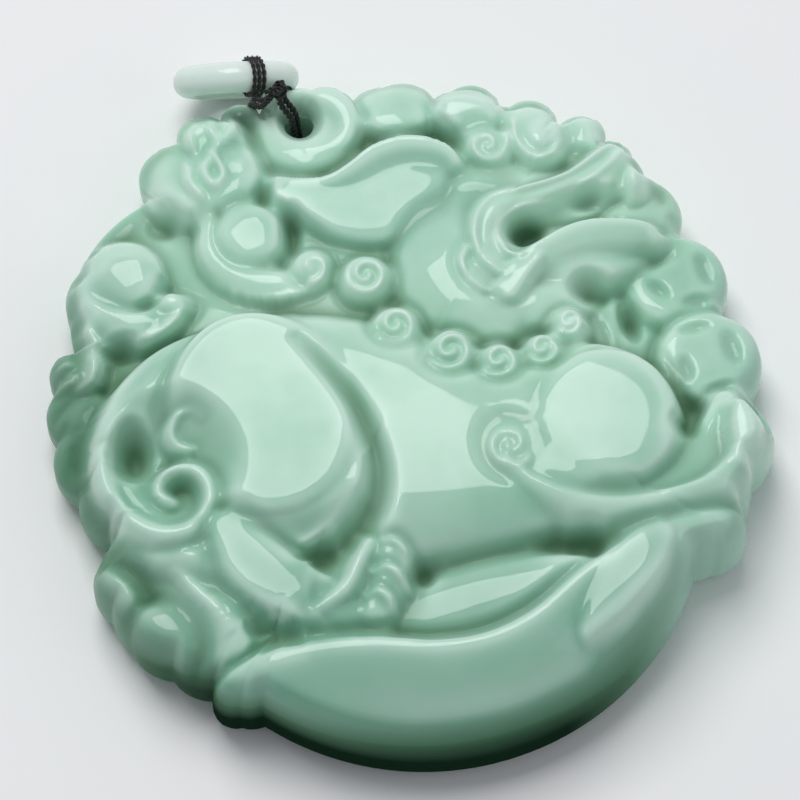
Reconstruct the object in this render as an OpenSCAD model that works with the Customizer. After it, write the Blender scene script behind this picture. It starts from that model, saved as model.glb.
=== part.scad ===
// Round jade pendant, carved on one face with a crouching beast that holds coins in its mouth and
// treads on a boat-shaped ingot among curling clouds. A small jade ring is tied to its cord hole.
// The stone lies on its flat back: z = 0 is the back, +Z the carved face, +Y the cord hole.

/* [Stone] */
// Width of the carved stone, mm
stone_width = 57; // [52:1:62]
// Height of the carving, as a share of its usual height
relief_rise = 1; // [0.9:0.05:1.1]
// Diameter of the cord hole, mm
hole_width = 2.4; // [2.2:0.1:2.8]
// Cells along each side of the carved face
face_cells = 68; // [48:4:72]

/* [Ring] */
// Outer diameter of the ring, mm
ring_width = 10.4; // [9.6:0.2:11]
// Thickness of the ring, mm
ring_thick = 2.6; // [2.2:0.1:2.8]

/* [Thread] */
// Diameter of one run of the thread, mm
thread_width = 0.5; // [0.4:0.05:0.55]

/* [View] */
// Which part to draw

/* [Hidden] */
scale_xy = stone_width / 57;
stone_colour = [0.66, 0.82, 0.74];
ring_colour = [0.8, 0.92, 0.86];
thread_colour = [0.12, 0.09, 0.08];

// Plain ground that the forms stand on: its height in the middle, its fall, and the radius of that fall
ground_top = 9;
ground_fall = 4.5;
ground_radius = 27;
ground_brim = 1.2;
// Lowest height of the face; height of its edge, and as a share of the face beside it; rounding's width
lowest = 4.3;
edge_top = 4.2;
edge_share = 0.9;
edge_roll = 1.6;
// How far a point at height z shows aside of its place, per mm over the drawing's level of 8 mm
lean = [0.131, 0.404];
drawn_level = 8;
drawn_middle = [0.3, 1.4];
// Softness of the joints between forms, and reach of the sink round a form
joint = 0.35;
sink_reach = 0.9;

// Rows of the tables, each one form. Rounds: x, y, half length, half width, turn, top, foot, fullness, sink
// Bands: points of x, y, half width, top; then foot, fullness, lean of the crest to the left, sink
// Curls: x, y, radius, turns, start, hand, half widths out and in, tops out and in, foot
// Cuts: points of x, y, half width, depth; then the level they are drawn at
// Pits: x, y, half length, half width, turn, depth, level, fullness

// Lobes of the outline. Columns: x, y, radius, height at which the lobe is widest
outline_lobes = [
    [0, 0, 26.6, 4.2], [-1.5, -8, 22.6, 3], [-1.2, 27, 3, 3.6], [1.8, 27, 2.3, 3.6],
    [-5.4, 28.6, 1.6, 3.6], [-8.8, 27.9, 2.2, 3.8], [-12.1, 25.3, 2.9, 3.8], [-12.6, 12.5, 11.7, 4],
    [-20, 16.2, 3.9, 4.2], [-25, 11, 1.9, 4.2], [-25.3, 7.3, 2.9, 4], [-25.4, 3.2, 3.4, 4],
    [-24.6, -0.8, 3.3, 4.2], [-25.6, -7.6, 3.1, 4.4], [-24.8, -10.2, 3.2, 4.3], [-23.5, -12.2, 3.7, 4.2],
    [-21.5, -15, 3.4, 4], [-20.8, -19.2, 1.7, 4.5], [-19.5, -19.2, 2.3, 4.2], [17.9, -17.2, 3.2, 4.4],
    [19.7, -17.8, 2.6, 4.4], [20.5, -14, 3.5, 4.6],
    [22.8, -10.5, 4.3, 4.6], [24.2, -3.9, 4.2, 4.4], [23.9, 3.6, 4.2, 4.4], [22.9, 10.2, 3.6, 4.4],
    [21.9, 14.2, 2.8, 4.4], [23.1, 16.3, 1.3, 4.6], [20.8, 18.7, 2.1, 4.2], [19.2, 18.8, 1.5, 4.2],
    [17.2, 21.2, 2.3, 4.2], [15.4, 21.7, 1.8, 4.2], [13, 23.9, 2.4, 4.2], [11.4, 24, 2, 4],
    [7.6, 25.2, 2.9, 4], [5.6, 25.9, 2.3, 3.8]
];
// Lobes along the top edge, then the pad round the cord hole, the lobe over the snout, two coins and a facet
top_bands = [
    [[[5.7, 26.9, 2, 6], [7.6, 26.6, 2.4, 6.3], [9.4, 25.9, 1.9, 6.3]], 4.4, 2.6, 0, 0.3]
];
top_rounds = [
    [7.3, 26, 3.7, 2.8, -15, 7.1, 5.6, 2.4, 0.15],
    [12.9, 24, 3.3, 2.7, -35, 7.7, 6.2, 4, 0.15],
    [21.3, 19.2, 2.1, 2, 0, 7.6, 6, 3, 0.3],
    [20.2, 17.6, 2.4, 1.7, 0, 7.2, 6, 3, 0],
    [-0.3, 26.8, 4.7, 4.9, 0, 6.5, 4.8, 3, 0.3],
    [23.6, 10.8, 4.1, 4, 0, 6.9, 5.2, 8, 0.3]
];
coin_rounds = [[24.2, 4.2, 4.8, 4.5, 0, 7.3, 5.2, 8, 0.4], [24.5, -3.1, 4.9, 4.5, 0, 7.7, 5.2, 8, 0.5]];
facet_rounds = [[12.7, 23.6, 2.9, 1.7, -28, 8.5, 7.6, 8, 0]];
hole_bands = [
    [[[-1.2, 30.2, 0.8, 6.2], [1.2, 29.5, 1.3, 6.8], [2.7, 28.2, 1.6, 7.1], [3, 26.3, 1.6, 7.2],
      [1.9, 25, 1.3, 7.2], [-0.4, 24.6, 0.8, 7]], 5.2, 2.2, 0.2, 0]
];
// Flame tuft left of the hole
tuft_rounds = [
    [-9.4, 25.3, 5.2, 4.6, -10, 7.8, 5.6, 4, 0.2], [-8.4, 28.6, 3.2, 1.9, 5, 7, 5.8, 3, 0.1]
];
// Cloud at the left edge
cloud_bands = [
    [[[-22.1, 18.4, 1, 7.7], [-21.6, 16.4, 1.4, 8.1], [-20.3, 14.6, 1.7, 8.4], [-18.3, 13.6, 1.6, 8.6],
      [-16.3, 13.8, 1.4, 8.6], [-14.9, 14.6, 1.1, 8.5]], 6.4, 2.3, 0.6, 0.2]
];
cloud_rounds = [
    [-18.2, 18.9, 3.4, 3.6, 35, 8.7, 6.9, 2.5, 0.2], [-15.3, 15, 1.4, 1.2, 0, 8.9, 7.4, 2.5, 0.2]
];
// Wisp, small curl and fur at the left edge
wisp_rounds = [
    [-25.1, 11.7, 2.4, 2.2, 0, 6.9, 5.4, 3.4, 0.3],
    [-26.2, 4.8, 4, 7, 0, 6.6, 5, 3, 0.1],
    [-26.7, -7.6, 2.2, 3.2, 15, 8.7, 5.4, 2.6, 0.4]
];
wisp_bands = [
    [[[-22.7, 14.8, 0.6, 7.6], [-22.4, 12.8, 0.75, 8], [-22.9, 11, 0.7, 7.8], [-24, 9.8, 0.6, 7.2]],
     5.8, 2, 0, 0.2]
];
// Tail curling under the hind leg
tail_bands = [
    [[[-25, -4.4, 1.4, 8.8], [-22.5, -6.8, 2.5, 9.6], [-20.8, -9.6, 2.8, 10], [-19.8, -12.8, 2.7, 9.9],
      [-20, -15.5, 2.5, 9.2], [-21.6, -17.2, 2.2, 8]], 6.6, 2.4, 0.4, 0.3]
];
tail_rounds = [
    [-16.8, -13.6, 3.6, 2.8, 0, 8.9, 7, 3, 0], [-24.3, -12.3, 3.2, 3.5, 20, 9, 6, 3.6, 0.2]
];
// Cloud in the middle
puff_bands = [
    [[[-10.4, 20.8, 0.9, 8], [-11, 18.8, 1.2, 8.3], [-10.5, 16.8, 1.5, 8.6], [-9, 15, 1.6, 8.9],
      [-6.8, 13.8, 1.6, 9.1], [-4.6, 13.4, 1.3, 9.1]], 6.9, 2.3, 0.45, 0.3]
];
puff_rounds = [
    [-7.4, 18.9, 3, 3.2, 0, 9.2, 7.5, 3.4, 0.3], [-3.6, 14.6, 1.9, 1.8, 0, 9.5, 7.8, 3, 0.4]
];
// Body of the beast: hind part, then the back running forward to the chest
body_rounds = [[-13.8, 1.4, 12.4, 11.8, 0, 12.3, 7.4, 3.6, 0.4]];
body_bands = [
    [[[-9, 0.4, 12, 12.3], [-4, -1, 10.8, 12.3], [0, -3, 9.5, 12.2], [3, -4.2, 8.8, 12.1],
      [6, -5, 8.2, 12], [9, -5.3, 7.9, 11.8], [13, -5.2, 7.6, 11.2]], 8, 4.8, 0.25, 0.4]
];
// Head, brow and eye
head_rounds = [
    [12.5, 14.6, 10.2, 8.8, 20, 9.5, 6.2, 2.2, 0.2],
    [17.3, 20.4, 2.8, 3.5, 0, 8.6, 6.8, 3, 0.3],
    [17.6, 20.1, 1.2, 1.5, 0, 9.1, 8.2, 2.2, 0.15],
    [13.1, 20.6, 2, 2, 0, 8.9, 7.8, 3, 0.3]
];
// Leaf-shaped horn with its rolled edge
horn_bands = [
    [[[-3.9, 21.4, 1.2, 8.8], [-1.4, 20, 2.1, 9], [1.6, 18.6, 3.6, 9.1], [4.6, 18.5, 4.1, 9.1],
      [7, 19.8, 3, 9.1]], 7.6, 6, 0, 0.3]
];
roll_bands = [
    [[[-4.2, 23, 0.7, 8.6], [-2.6, 22, 0.9, 9], [0, 21.2, 1.1, 9.5], [2.4, 21.6, 1.4, 9.9],
      [4.8, 22.4, 1.6, 10.1], [7.3, 22.3, 1.6, 10.1], [9.3, 21, 1.4, 9.9], [10, 19.4, 1, 9.5]],
     7.4, 1.4, 0.8, 0.1]
];
// Cheek, lips and chin
cheek_rounds = [
    [9, 10.6, 6.8, 7.3, 10, 10.8, 7.2, 2.6, 0.3], [13.6, 7.4, 5.4, 4.1, 5, 9.9, 7.4, 2.6, 0.1],
    [17.8, 9, 6, 3.4, -4, 9.7, 7.2, 2.6, 0.1]
];
lip_bands = [
    [[[23.5, 16.2, 1.1, 7.9], [21.6, 15.1, 1.7, 8.8], [18.8, 14.2, 2, 9.6], [15.8, 14.3, 1.7, 10.2],
      [13, 14.7, 1.4, 10.6], [10.9, 13.6, 1.4, 10.8], [10.4, 11.4, 1.4, 10.9], [11.1, 9.7, 1.3, 11],
      [12.8, 8.9, 1.1, 10.9]], 7.2, 2.8, -0.4, 0.2],
    [[[10.2, 7.4, 1.2, 11], [12.6, 8.8, 1.7, 11], [15, 9.6, 1.9, 10.9], [18, 10, 2, 10.7],
      [20.8, 9.5, 1.8, 10.1], [22.8, 8.9, 1.4, 9.3], [23.3, 7.9, 1, 8.6]], 7.4, 1.9, 0.7, 0.2],
    [[[10.8, 7.5, 1.05, 11], [12.3, 8.5, 0.85, 11.1], [14, 9.6, 0.5, 11.1]], 10.2, 4, 0, 0]
];
lozenge_rounds = [[23.7, 13.7, 1, 1.9, -25, 8.7, 5, 7, 0.4]];
// Shoulder
shoulder_rounds = [
    [10.4, -6.9, 5.2, 3.5, -28, 12.3, 10.4, 6, 0], [14.8, -5, 6.2, 6.1, -8, 12.5, 10.4, 7.5, 0]
];
// Hind leg and its paw with three toes
leg_bands = [
    [[[-16.6, -5.2, 2, 11.5], [-15.6, -8.2, 2.9, 11.7], [-13.4, -11.5, 2.9, 11.5], [-10.8, -13.6, 2.7, 11],
      [-8.4, -13.8, 2.4, 10.6]], 9.2, 5, 0, 0.4]
];
paw_rounds = [
    [-8, -13.2, 4.3, 3.5, 35, 10.2, 7.6, 3, 0.4], [-5.3, -11.4, 2, 2.5, 20, 11.1, 8.6, 2.4, 0.1],
    [-6.4, -13.6, 2, 2.3, 20, 10.9, 8.4, 2.4, 0.1], [-7.8, -15.3, 2.1, 2, 20, 10.6, 8.2, 2.4, 0.1]
];
paw_bands = [
    [[[-12.4, -13.9, 0.9, 11.2], [-9.4, -12.7, 1.1, 11.4], [-7.7, -10.9, 1.1, 11.5], [-6.6, -9.7, 1, 11.2]],
     9, 2, 0, 0.2]
];
// Scrolled foreleg
scroll_rounds = [[6.6, -5.2, 2.5, 2.8, 0, 12.2, 9.4, 3, 0.2]];
scroll_bands = [
    [[[9.4, -8.6, 1.6, 11], [12.6, -11, 2, 10.8], [16.5, -11.8, 2.2, 10.5], [20.4, -11.2, 2.4, 10.1],
      [23, -9.2, 2.4, 9.7], [24, -7.4, 1.8, 9.3]], 7.5, 5, 0, 0],
    [[[5.2, -6.6, 1.4, 12.5], [7, -9.6, 1.9, 12.5], [10, -12.1, 2.1, 12.3], [13.4, -13.5, 2.1, 11.9],
      [17.5, -14.2, 2.2, 11.6], [21, -14, 2.3, 11.5], [23.8, -12.4, 2.2, 11.3], [25.4, -9.8, 1.7, 11.1],
      [25.2, -7.8, 1.2, 10.6]], 6.4, 1.8, 0.6, 0]
];
// Row of hair curls under the jaw. Columns: x, y, radius, top
hair_rows = [
    [0.3, 12.3, 2.3, 10.4], [1.2, 7.4, 2.3, 11.3], [4.7, 4, 2.4, 11.7], [8.1, 2, 2.1, 11.6],
    [11.7, 1.9, 1.9, 11.3], [14.5, 3.4, 1.7, 10.9]
];
// Mound behind the ingot, then the ingot
mound_bands = [
    [[[-6.2, -17, 1.8, 8.9], [-3, -16.8, 3, 9.5], [1, -16.8, 3.5, 10.1], [5, -16.9, 3.1, 10.6],
      [8.8, -16.6, 1.7, 10.8]], 8.2, 2, 0, 0.1]
];
ingot_bands = [
    [[[-22.4, -19.4, 1.5, 7.8], [-20.6, -19.4, 2.7, 9.3], [-18, -19.5, 3.9, 10.3], [-15, -19.6, 4.6, 10.9],
      [-10, -20.8, 4.8, 11.2], [-5, -22.4, 4.5, 11.3], [0, -23, 4.3, 11.3], [5, -22.2, 4.3, 11.4],
      [10, -19.9, 4.2, 11.5], [14, -18.4, 3.9, 11.4], [17.5, -18, 3.4, 11], [20.2, -18, 2.9, 10.3],
      [22, -18.2, 1.8, 9.2]], 4.6, 1.7, 0.75, 0.5],
    [[[7.4, -22.2, 0.9, 10.8], [9.2, -20.5, 1.9, 11.3], [11.4, -18.8, 2.4, 11.6], [13.6, -17.1, 2.4, 11.7],
      [15.4, -16.1, 1.5, 11.6]], 9.6, 4, 0.2, 0]
];
// Groove round the haunch's front and underside, and the haunch
haunch_cuts = [
    [[[-6.7, 8.6, 0.6, 0.5], [-5.7, 6.6, 0.9, 1], [-4.6, 4, 1.1, 1.4], [-3.8, 1, 1.2, 1.6],
      [-3.6, -2.2, 1.3, 1.8], [-4.3, -5, 1.6, 2.1], [-6, -7.4, 1.8, 2.4], [-9, -9, 1.8, 2.4],
      [-12, -8.8, 1.5, 2], [-14.4, -6.8, 1.3, 1.2]], 12.3],
    [[[-14, -6.4, 1.6, 0.5], [-11.5, -7.3, 2, 1], [-8.5, -7.2, 2, 1], [-6.4, -6, 1.6, 0.6]], 12.3]
];
haunch_rounds = [[-11, 3.6, 7.6, 9.1, 0, 12.8, 10.6, 20, 0]];
// Dish of the haunch with its two curls
dish_pits = [[-19, 1.6, 5.7, 6.6, 15, 3, 11, 2.2]];
dish_rounds = [[-17, 3.6, 2.6, 2.6, 0, 10.2, 8.6, 2.2, 0]];
dish_bands = [
    [[[-24.4, 4.2, 0.9, 10.8], [-24.8, 1.5, 1.1, 11], [-24.3, -1, 1.2, 11.2], [-23, -3, 1.3, 11.4],
      [-21.2, -4.1, 1.3, 11.6], [-19.2, -4.2, 1.3, 11.7], [-17.6, -3.1, 1.2, 11.7], [-17, -1.3, 1.1, 11.6],
      [-17.6, 0.3, 1, 11.5], [-19, 0.9, 0.9, 11.3], [-20.4, 0.5, 0.8, 11.2], [-21, -0.7, 0.7, 11.1],
      [-20.3, -1.6, 0.8, 11.1]], 9, 2, 0, 0.4]
];
// Hollow of the mouth running out to the snout
mouth_cuts = [
    [[[13.2, 11.8, 1.8, 1.2], [16, 12.4, 1.7, 1.5], [18.8, 12.8, 1.8, 1.4], [21.2, 12.8, 1.2, 0.3]], 8.4]
];
// Drilled pits between the forms
drilled_pits = [
    [-22.2, 2.9, 1.9, 3, -15, 3.2, 9, 2], [-10.3, -9.6, 1.5, 1, 0, 1.8, 9.6, 2],
    [-17.2, -14.7, 1.1, 0.9, 0, 0.8, 7.6, 2], [-13.8, 22, 1.8, 1.4, -10, 1.7, 6.5, 2],
    [-20.3, 11.9, 1.5, 1, -20, 1.6, 6.6, 2], [13.5, 11.6, 2, 1.6, 0, 1.8, 8.4, 2.4],
    [19.4, 12.8, 2, 1.1, -4, 1, 7.6, 2], [16.8, 5.2, 2, 1.7, 0, 1.8, 7.8, 2],
    [19.2, 1.9, 0.9, 2.1, 0, 2, 7.4, 2], [20, -8.5, 1.3, 1.3, 0, 1.6, 9.6, 2],
    [9.4, -15.4, 1.8, 1, 0, 1.6, 8.4, 2], [-3.5, -14.4, 0.9, 0.6, 0, 1.2, 8.6, 2],
    [-4.4, 17.4, 1, 2.6, -20, 1.4, 7.2, 2], [-0.7, 27.2, 1.9, 2.2, 0, 2, 6, 4]
];

// Spiral of the scrolled foreleg
scroll_curls = [[6.6, -5.2, 1.9, 1.4, 300, -1, 0.6, 0.45, 12.5, 12.4, 10.6]];

function clamp01(v) = min(1, max(0, v));
function seat(x, y, z) = [
    x - (z - drawn_level) * lean[0] - drawn_middle[0],
    y - (z - drawn_level) * lean[1] - drawn_middle[1]
];
function column(rows, k) = [for (r = rows) r[k]];
function ground(x, y) = ground_top
    - ground_fall * min((x * x + y * y) / (ground_radius * ground_radius), ground_brim);

// Smooth line through a list of points, with the same number of steps between each two
function ghost_ends(p) = let (n = len(p)) concat([2 * p[0] - p[1]], p, [2 * p[n - 1] - p[n - 2]]);
function eased(a, b, c, d, t) =
    0.5 * (2 * b + (c - a) * t + (2 * a - 5 * b + 4 * c - d) * t * t + (3 * b - a - 3 * c + d) * t * t * t);
function smooth_line(p, steps) = let (q = ghost_ends(p), n = len(p)) concat(
    [for (i = [0:n - 2], k = [0:steps - 1]) eased(q[i], q[i + 1], q[i + 2], q[i + 3], k / steps)],
    [p[n - 1]]);
function pieces(p) = [for (i = [0:len(p) - 2]) let (a = p[i], d = p[i + 1] - p[i])
    [a[0], a[1], d[0], d[1], norm([d[0], d[1]]) + 1e-9, a[2], d[2], a[3], d[3]]];
function frame_of(p, more) = let (w = max(column(p, 2)) + more, x = column(p, 0), y = column(p, 1))
    [min(x) - w, max(x) + w, min(y) - w, max(y) + w];
function spiral(x, y, r, turns, start, hand, w0, w1, z0, z1) = [for (k = [0:12]) let (t = k / 12,
    a = start + hand * 360 * turns * t, s = r * (1 - 0.88 * t))
    [x + s * cos(a), y + s * sin(a), w0 + (w1 - w0) * t, z0 + (z1 - z0) * t]];

// Each form as kind, frame and figures: 0 round, 1 band, 2 cut, 3 pit. What follows the ground leans with it
function box_round(c, a, b, more) = let (w = max(a, b) + more) [c[0] - w, c[0] + w, c[1] - w, c[1] + w];
function rounds(t, follows) = [for (r = t) let (c = seat(r[0], r[1], r[5]))
    [0, box_round(c, r[2], r[3], sink_reach), c, r[2], r[3], cos(r[4]), sin(r[4]), r[5], r[6], r[7], r[8],
        follows, ground(c[0], c[1])]];
function band(p, foot, fullness, crest, sink, follows, steps) = let (s = smooth_line(p, steps))
    [1, frame_of(s, sink_reach), pieces(s), foot, fullness, crest, sink, follows];
function seat_points(p) = [for (q = p) concat(seat(q[0], q[1], q[3]), [q[2], q[3]])];
function bands(t, follows) = [for (r = t) band(seat_points(r[0]), r[1], r[2], r[3], r[4], follows, 2)];
function curls(t) = [for (r = t) let (c = seat(r[0], r[1], r[8]))
    band(spiral(c[0], c[1], r[2], r[3], r[4], r[5], r[6], r[7], r[8], r[9]), r[10], 2, 0, 0, 0, 1)];
function cuts(t) = [for (r = t) let (
    s = smooth_line([for (q = r[0]) concat(seat(q[0], q[1], r[1]), [q[2], q[3]])], 3))
    [2, frame_of(s, 0), pieces(s)]];
function pits(t) = [for (r = t) let (c = seat(r[0], r[1], r[6]))
    [3, box_round(c, r[2], r[3], 0), c, r[2], r[3], cos(r[4]), sin(r[4]), r[5], r[7]]];
// Hair curls: a round each, sunk a little inside its edge, with a spiral in the hollow
hair_rounds = [for (r = hair_rows) [r[0], r[1], r[2], r[2], 0, r[3], 8, 3, 0.6]];
hair_pits = [for (r = hair_rows) [r[0], r[1], r[2] * 0.85, r[2] * 0.85, 0, 0.7, r[3], 3]];
hair_curls = [for (r = hair_rows)
    [r[0], r[1], r[2] * 0.66, 1.2, 200, 1, r[2] * 0.26, r[2] * 0.2, r[3] + 0.2, r[3] + 0.2, r[3] - 1.5]];

forms = concat(
    bands(top_bands, 1), rounds(top_rounds, 1), rounds(coin_rounds, 0.35), rounds(facet_rounds, 0),
    bands(hole_bands, 1), rounds(tuft_rounds, 1),
    bands(cloud_bands, 1), rounds(cloud_rounds, 0.5), rounds(wisp_rounds, 1), bands(wisp_bands, 1),
    bands(tail_bands, 1), rounds(tail_rounds, 0.4), bands(puff_bands, 1), rounds(puff_rounds, 0.4),
    rounds(head_rounds, 1), bands(horn_bands, 0), bands(roll_bands, 1),
    rounds(cheek_rounds, 1), bands(lip_bands, 0.3), rounds(lozenge_rounds, 0),
    rounds(body_rounds, 0), bands(body_bands, 0), rounds(shoulder_rounds, 0),
    rounds(haunch_rounds, 0), cuts(haunch_cuts),
    pits(dish_pits), rounds(dish_rounds, 0), bands(dish_bands, 0),
    bands(leg_bands, 0), rounds(paw_rounds, 1), bands(paw_bands, 0),
    rounds(scroll_rounds, 0), bands(scroll_bands, 0), curls(scroll_curls),
    rounds(hair_rounds, 0), pits(hair_pits), curls(hair_curls),
    bands(mound_bands, 0), bands(ingot_bands, 0), cuts(mouth_cuts), pits(drilled_pits));

// Height of the face: each form in turn sinks the ground round it and rises over it
function soft_max(a, b) = let (h = max(joint - abs(a - b), 0) / joint) max(a, b) + h * h * joint / 4;
function laid(z, v, out, sink) = let (q = 1 - clamp01(out / sink_reach), s = z - sink * q * q)
    out < 0 ? soft_max(s, v) : s;
function domed(q, top, foot, fullness) = foot + (top - foot) * sqrt(max(0, 1 - pow(q, fullness)));
function oval(f, x, y) = let (dx = x - f[2][0], dy = y - f[2][1])
    norm([(dx * f[5] + dy * f[6]) / f[3], (dy * f[5] - dx * f[6]) / f[4]]);
function round_at(f, x, y, z) = let (
    q = oval(f, x, y) + 1e-6, top = domed(q, f[7], f[8], f[9]) + f[11] * (ground(x, y) - f[12]))
    laid(z, top, (q - 1) * norm([x, y] - f[2]) / q, f[10]);
// How a place lies to a piece of a line: to its left, past its ends, then the line's width, top and place
function beside(s, x, y) = let (
    along = ((x - s[0]) * s[2] + (y - s[1]) * s[3]) / s[4], held = min(s[4], max(0, along)), t = held / s[4])
    [((y - s[1]) * s[2] - (x - s[0]) * s[3]) / s[4], abs(along - held), s[5] + t * s[6], s[7] + t * s[8],
        s[0] + t * s[2], s[1] + t * s[3]];
function crest_share(e, crest) = let (side = e[0] / e[2] - crest)
    norm([side / (side > 0 ? 1 - crest : 1 + crest), e[1] / e[2]]);
function band_at(f, x, y, z) = let (
    d = [for (s = f[2]) beside(s, x, y)], here = ground(x, y),
    out = min([for (e = d) norm([e[0], e[1]]) - e[2]]),
    v = max([for (e = d) domed(crest_share(e, f[5]), e[3], f[3], f[4])
        + f[7] * (here - ground(e[4], e[5]))]))
    laid(z, v, out, f[6]);
function cut_at(f, x, y, z) = z - max([for (s = f[2])
    let (e = beside(s, x, y), q = clamp01(norm([e[0], e[1]]) / e[2])) e[3] * pow(1 - q * q, 2)]);
function pit_at(f, x, y, z) = z - f[7] * pow(max(0, 1 - pow(oval(f, x, y), f[8])), 1.5);
function form_at(f, x, y, z) = f[0] == 0 ? round_at(f, x, y, z) : f[0] == 1 ? band_at(f, x, y, z)
    : f[0] == 2 ? cut_at(f, x, y, z) : pit_at(f, x, y, z);
function stacked(near, x, y, z, i = 0) = i == len(near) ? z
    : stacked(near, x, y, form_at(near[i], x, y, z), i + 1);
function face_height(x, y) = let (
    near = [for (f = forms) let (b = f[1]) if (x > b[0] && x < b[1] && y > b[2] && y < b[3]) f])
    max(lowest, stacked(near, x, y, ground(x, y)));

// Outline: the farthest that a ray from the middle stays inside a lobe
middle = seat(0, 0, edge_top);
lobes = [for (r = outline_lobes) concat(seat(r[0], r[1], r[3]) - middle, [r[2]])];
function outline(a) = max([for (l = lobes) let (
    d = l[0] * cos(a) + l[1] * sin(a), e = l[2] * l[2] - l[0] * l[0] - l[1] * l[1] + d * d)
    e > 0 ? d + sqrt(e) : 0]);

// Grid of the face: a square of cells drawn out to the outline. Its outer part alone follows the lobes
function square_to_ray(a, b) = a == 0 && b == 0 ? [0, 0] : abs(a) >= abs(b)
    ? [abs(a), 45 * b / a + (a < 0 ? 180 : 0)] : [abs(b), 90 - 45 * a / b + (b < 0 ? 180 : 0)];
plain_reach = 27;
plain_share = 0.75;
function spread(r, far) = plain_reach * r
    + (far - plain_reach) * pow(max(0, (r - plain_share) / (1 - plain_share)), 2);
function place(i, j, n) = let (
    ray = square_to_ray(2 * i / n - 1, 2 * j / n - 1), s = spread(ray[0], outline(ray[1])))
    [middle[0] + s * cos(ray[1]), middle[1] + s * sin(ray[1]), ray[0]];
// The face is rolled down to its edge over the outer cells, by their distance from the outline
rolled_share = 0.9;
function inward(p, edge) = p[2] < rolled_share ? edge_roll
    : min([for (e = edge) norm([p[0] - e[0], p[1] - e[1]])]);
function face_point(p, edge) = let (
    h = face_height(p[0], p[1]), rim = min(edge_top, edge_share * h),
    q = 1 - clamp01(inward(p, edge) / edge_roll))
    [p[0], p[1], rim + (h - rim) * sqrt(max(0, 1 - q * q))];
function rim_path(n) = concat([for (k = [0:n - 1]) [k, 0]], [for (k = [0:n - 1]) [n, k]],
    [for (k = [0:n - 1]) [n - k, n]], [for (k = [0:n - 1]) [0, n - k]]);
// Rings down the side: share of the height of the edge, and how far they lie in
side_rings = [[0.62, 0], [0.3, 0.25], [0, 1]];

module jade_body(n) {
    m = n + 1;
    edge = [for (p = rim_path(n)) place(p[0], p[1], n)];
    top = [for (j = [0:n], i = [0:n]) face_point(place(i, j, n), edge)];
    rim = [for (p = rim_path(n)) p[1] * m + p[0]];
    k = len(rim);
    side = [for (s = side_rings, v = rim) let (p = top[v], d = [p[0], p[1]] - middle, r = norm(d))
        [middle[0] + d[0] * (r - s[1]) / r, middle[1] + d[1] * (r - s[1]) / r, p[2] * s[0]]];
    levels = concat([rim], [for (s = [0:2]) [for (v = [0:k - 1]) m * m + s * k + v]]);
    polyhedron(
        points = [for (p = concat(top, side)) [p[0] * scale_xy, p[1] * scale_xy, p[2] * relief_rise]],
        faces = concat(
            [for (j = [0:n - 1], i = [0:n - 1]) let (a = j * m + i)
                abs(top[a][2] - top[a + m + 1][2]) < abs(top[a + 1][2] - top[a + m][2])
                    ? [a, a + m + 1, a + 1] : [a, a + m, a + 1]],
            [for (j = [0:n - 1], i = [0:n - 1]) let (a = j * m + i)
                abs(top[a][2] - top[a + m + 1][2]) < abs(top[a + 1][2] - top[a + m][2])
                    ? [a, a + m, a + m + 1] : [a + 1, a + m, a + m + 1]],
            [for (s = [0:2], v = [0:k - 1], half = [0, 1]) let (w = (v + 1) % k)
                half == 0 ? [levels[s][v], levels[s][w], levels[s + 1][w]]
                    : [levels[s][v], levels[s + 1][w], levels[s + 1][v]]],
            [[for (v = [0:k - 1]) levels[3][v]]]));
}

// Cord hole: its place on the face, and the level of the pad round it
hole_at = seat(-0.8, 27, 5.8) * scale_xy;
// Run of the thread from the hole to the edge, on the back
channel_to = [-3.6, 30.3] * scale_xy;
channel_width = 1.9;
channel_reach = norm(channel_to - hole_at) * 1.4;

module thread_channel() {
    d = channel_to - hole_at;
    translate([hole_at[0], hole_at[1], 0])
        rotate([0, 90, atan2(d[1], d[0])])
            cylinder(d = channel_width, h = channel_reach, $fn = 32);
}

module carved_pendant() {
    color(stone_colour)
        difference() {
            jade_body(face_cells);
            translate([hole_at[0], hole_at[1], -1])
                cylinder(d = hole_width, h = 20, $fn = 48);
            thread_channel();
        }
}

// The ring leans on its edge behind the top of the stone. Its own x runs along it, its z is its axis
ring_lean = [-67, 0, -18];
ring_tilt = 3;
ring_tube = ring_thick / 2;
ring_mean = ring_width / 2 - ring_tube;
// Place of its middle at its usual width, and its gap over the table
ring_middle = [-4.45, 32.25];
usual_width = 10.4;
table_gap = 0.02;
ring_place = [ring_middle[0] * scale_xy, ring_middle[1] * scale_xy + (ring_width - usual_width) / 2,
    ring_mean * sin(-ring_lean[0]) + ring_tube + table_gap];

module ring_pose() {
    translate(ring_place)
        rotate(ring_lean)
            rotate([0, -ring_tilt, 0])
                children();
}

module bail_ring() {
    color(ring_colour)
        ring_pose()
            rotate_extrude($fn = 72)
                translate([ring_mean, 0])
                    circle(d = ring_thick, $fn = 32);
}

function turned_x(p, a) = [p[0], p[1] * cos(a) - p[2] * sin(a), p[1] * sin(a) + p[2] * cos(a)];
function turned_y(p, a) = [p[0] * cos(a) + p[2] * sin(a), p[1], p[2] * cos(a) - p[0] * sin(a)];
function turned_z(p, a) = [p[0] * cos(a) - p[1] * sin(a), p[0] * sin(a) + p[1] * cos(a), p[2]];
function on_ring(p) = ring_place + turned_z(turned_x(turned_y(p, -ring_tilt), ring_lean[0]), ring_lean[2]);

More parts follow.
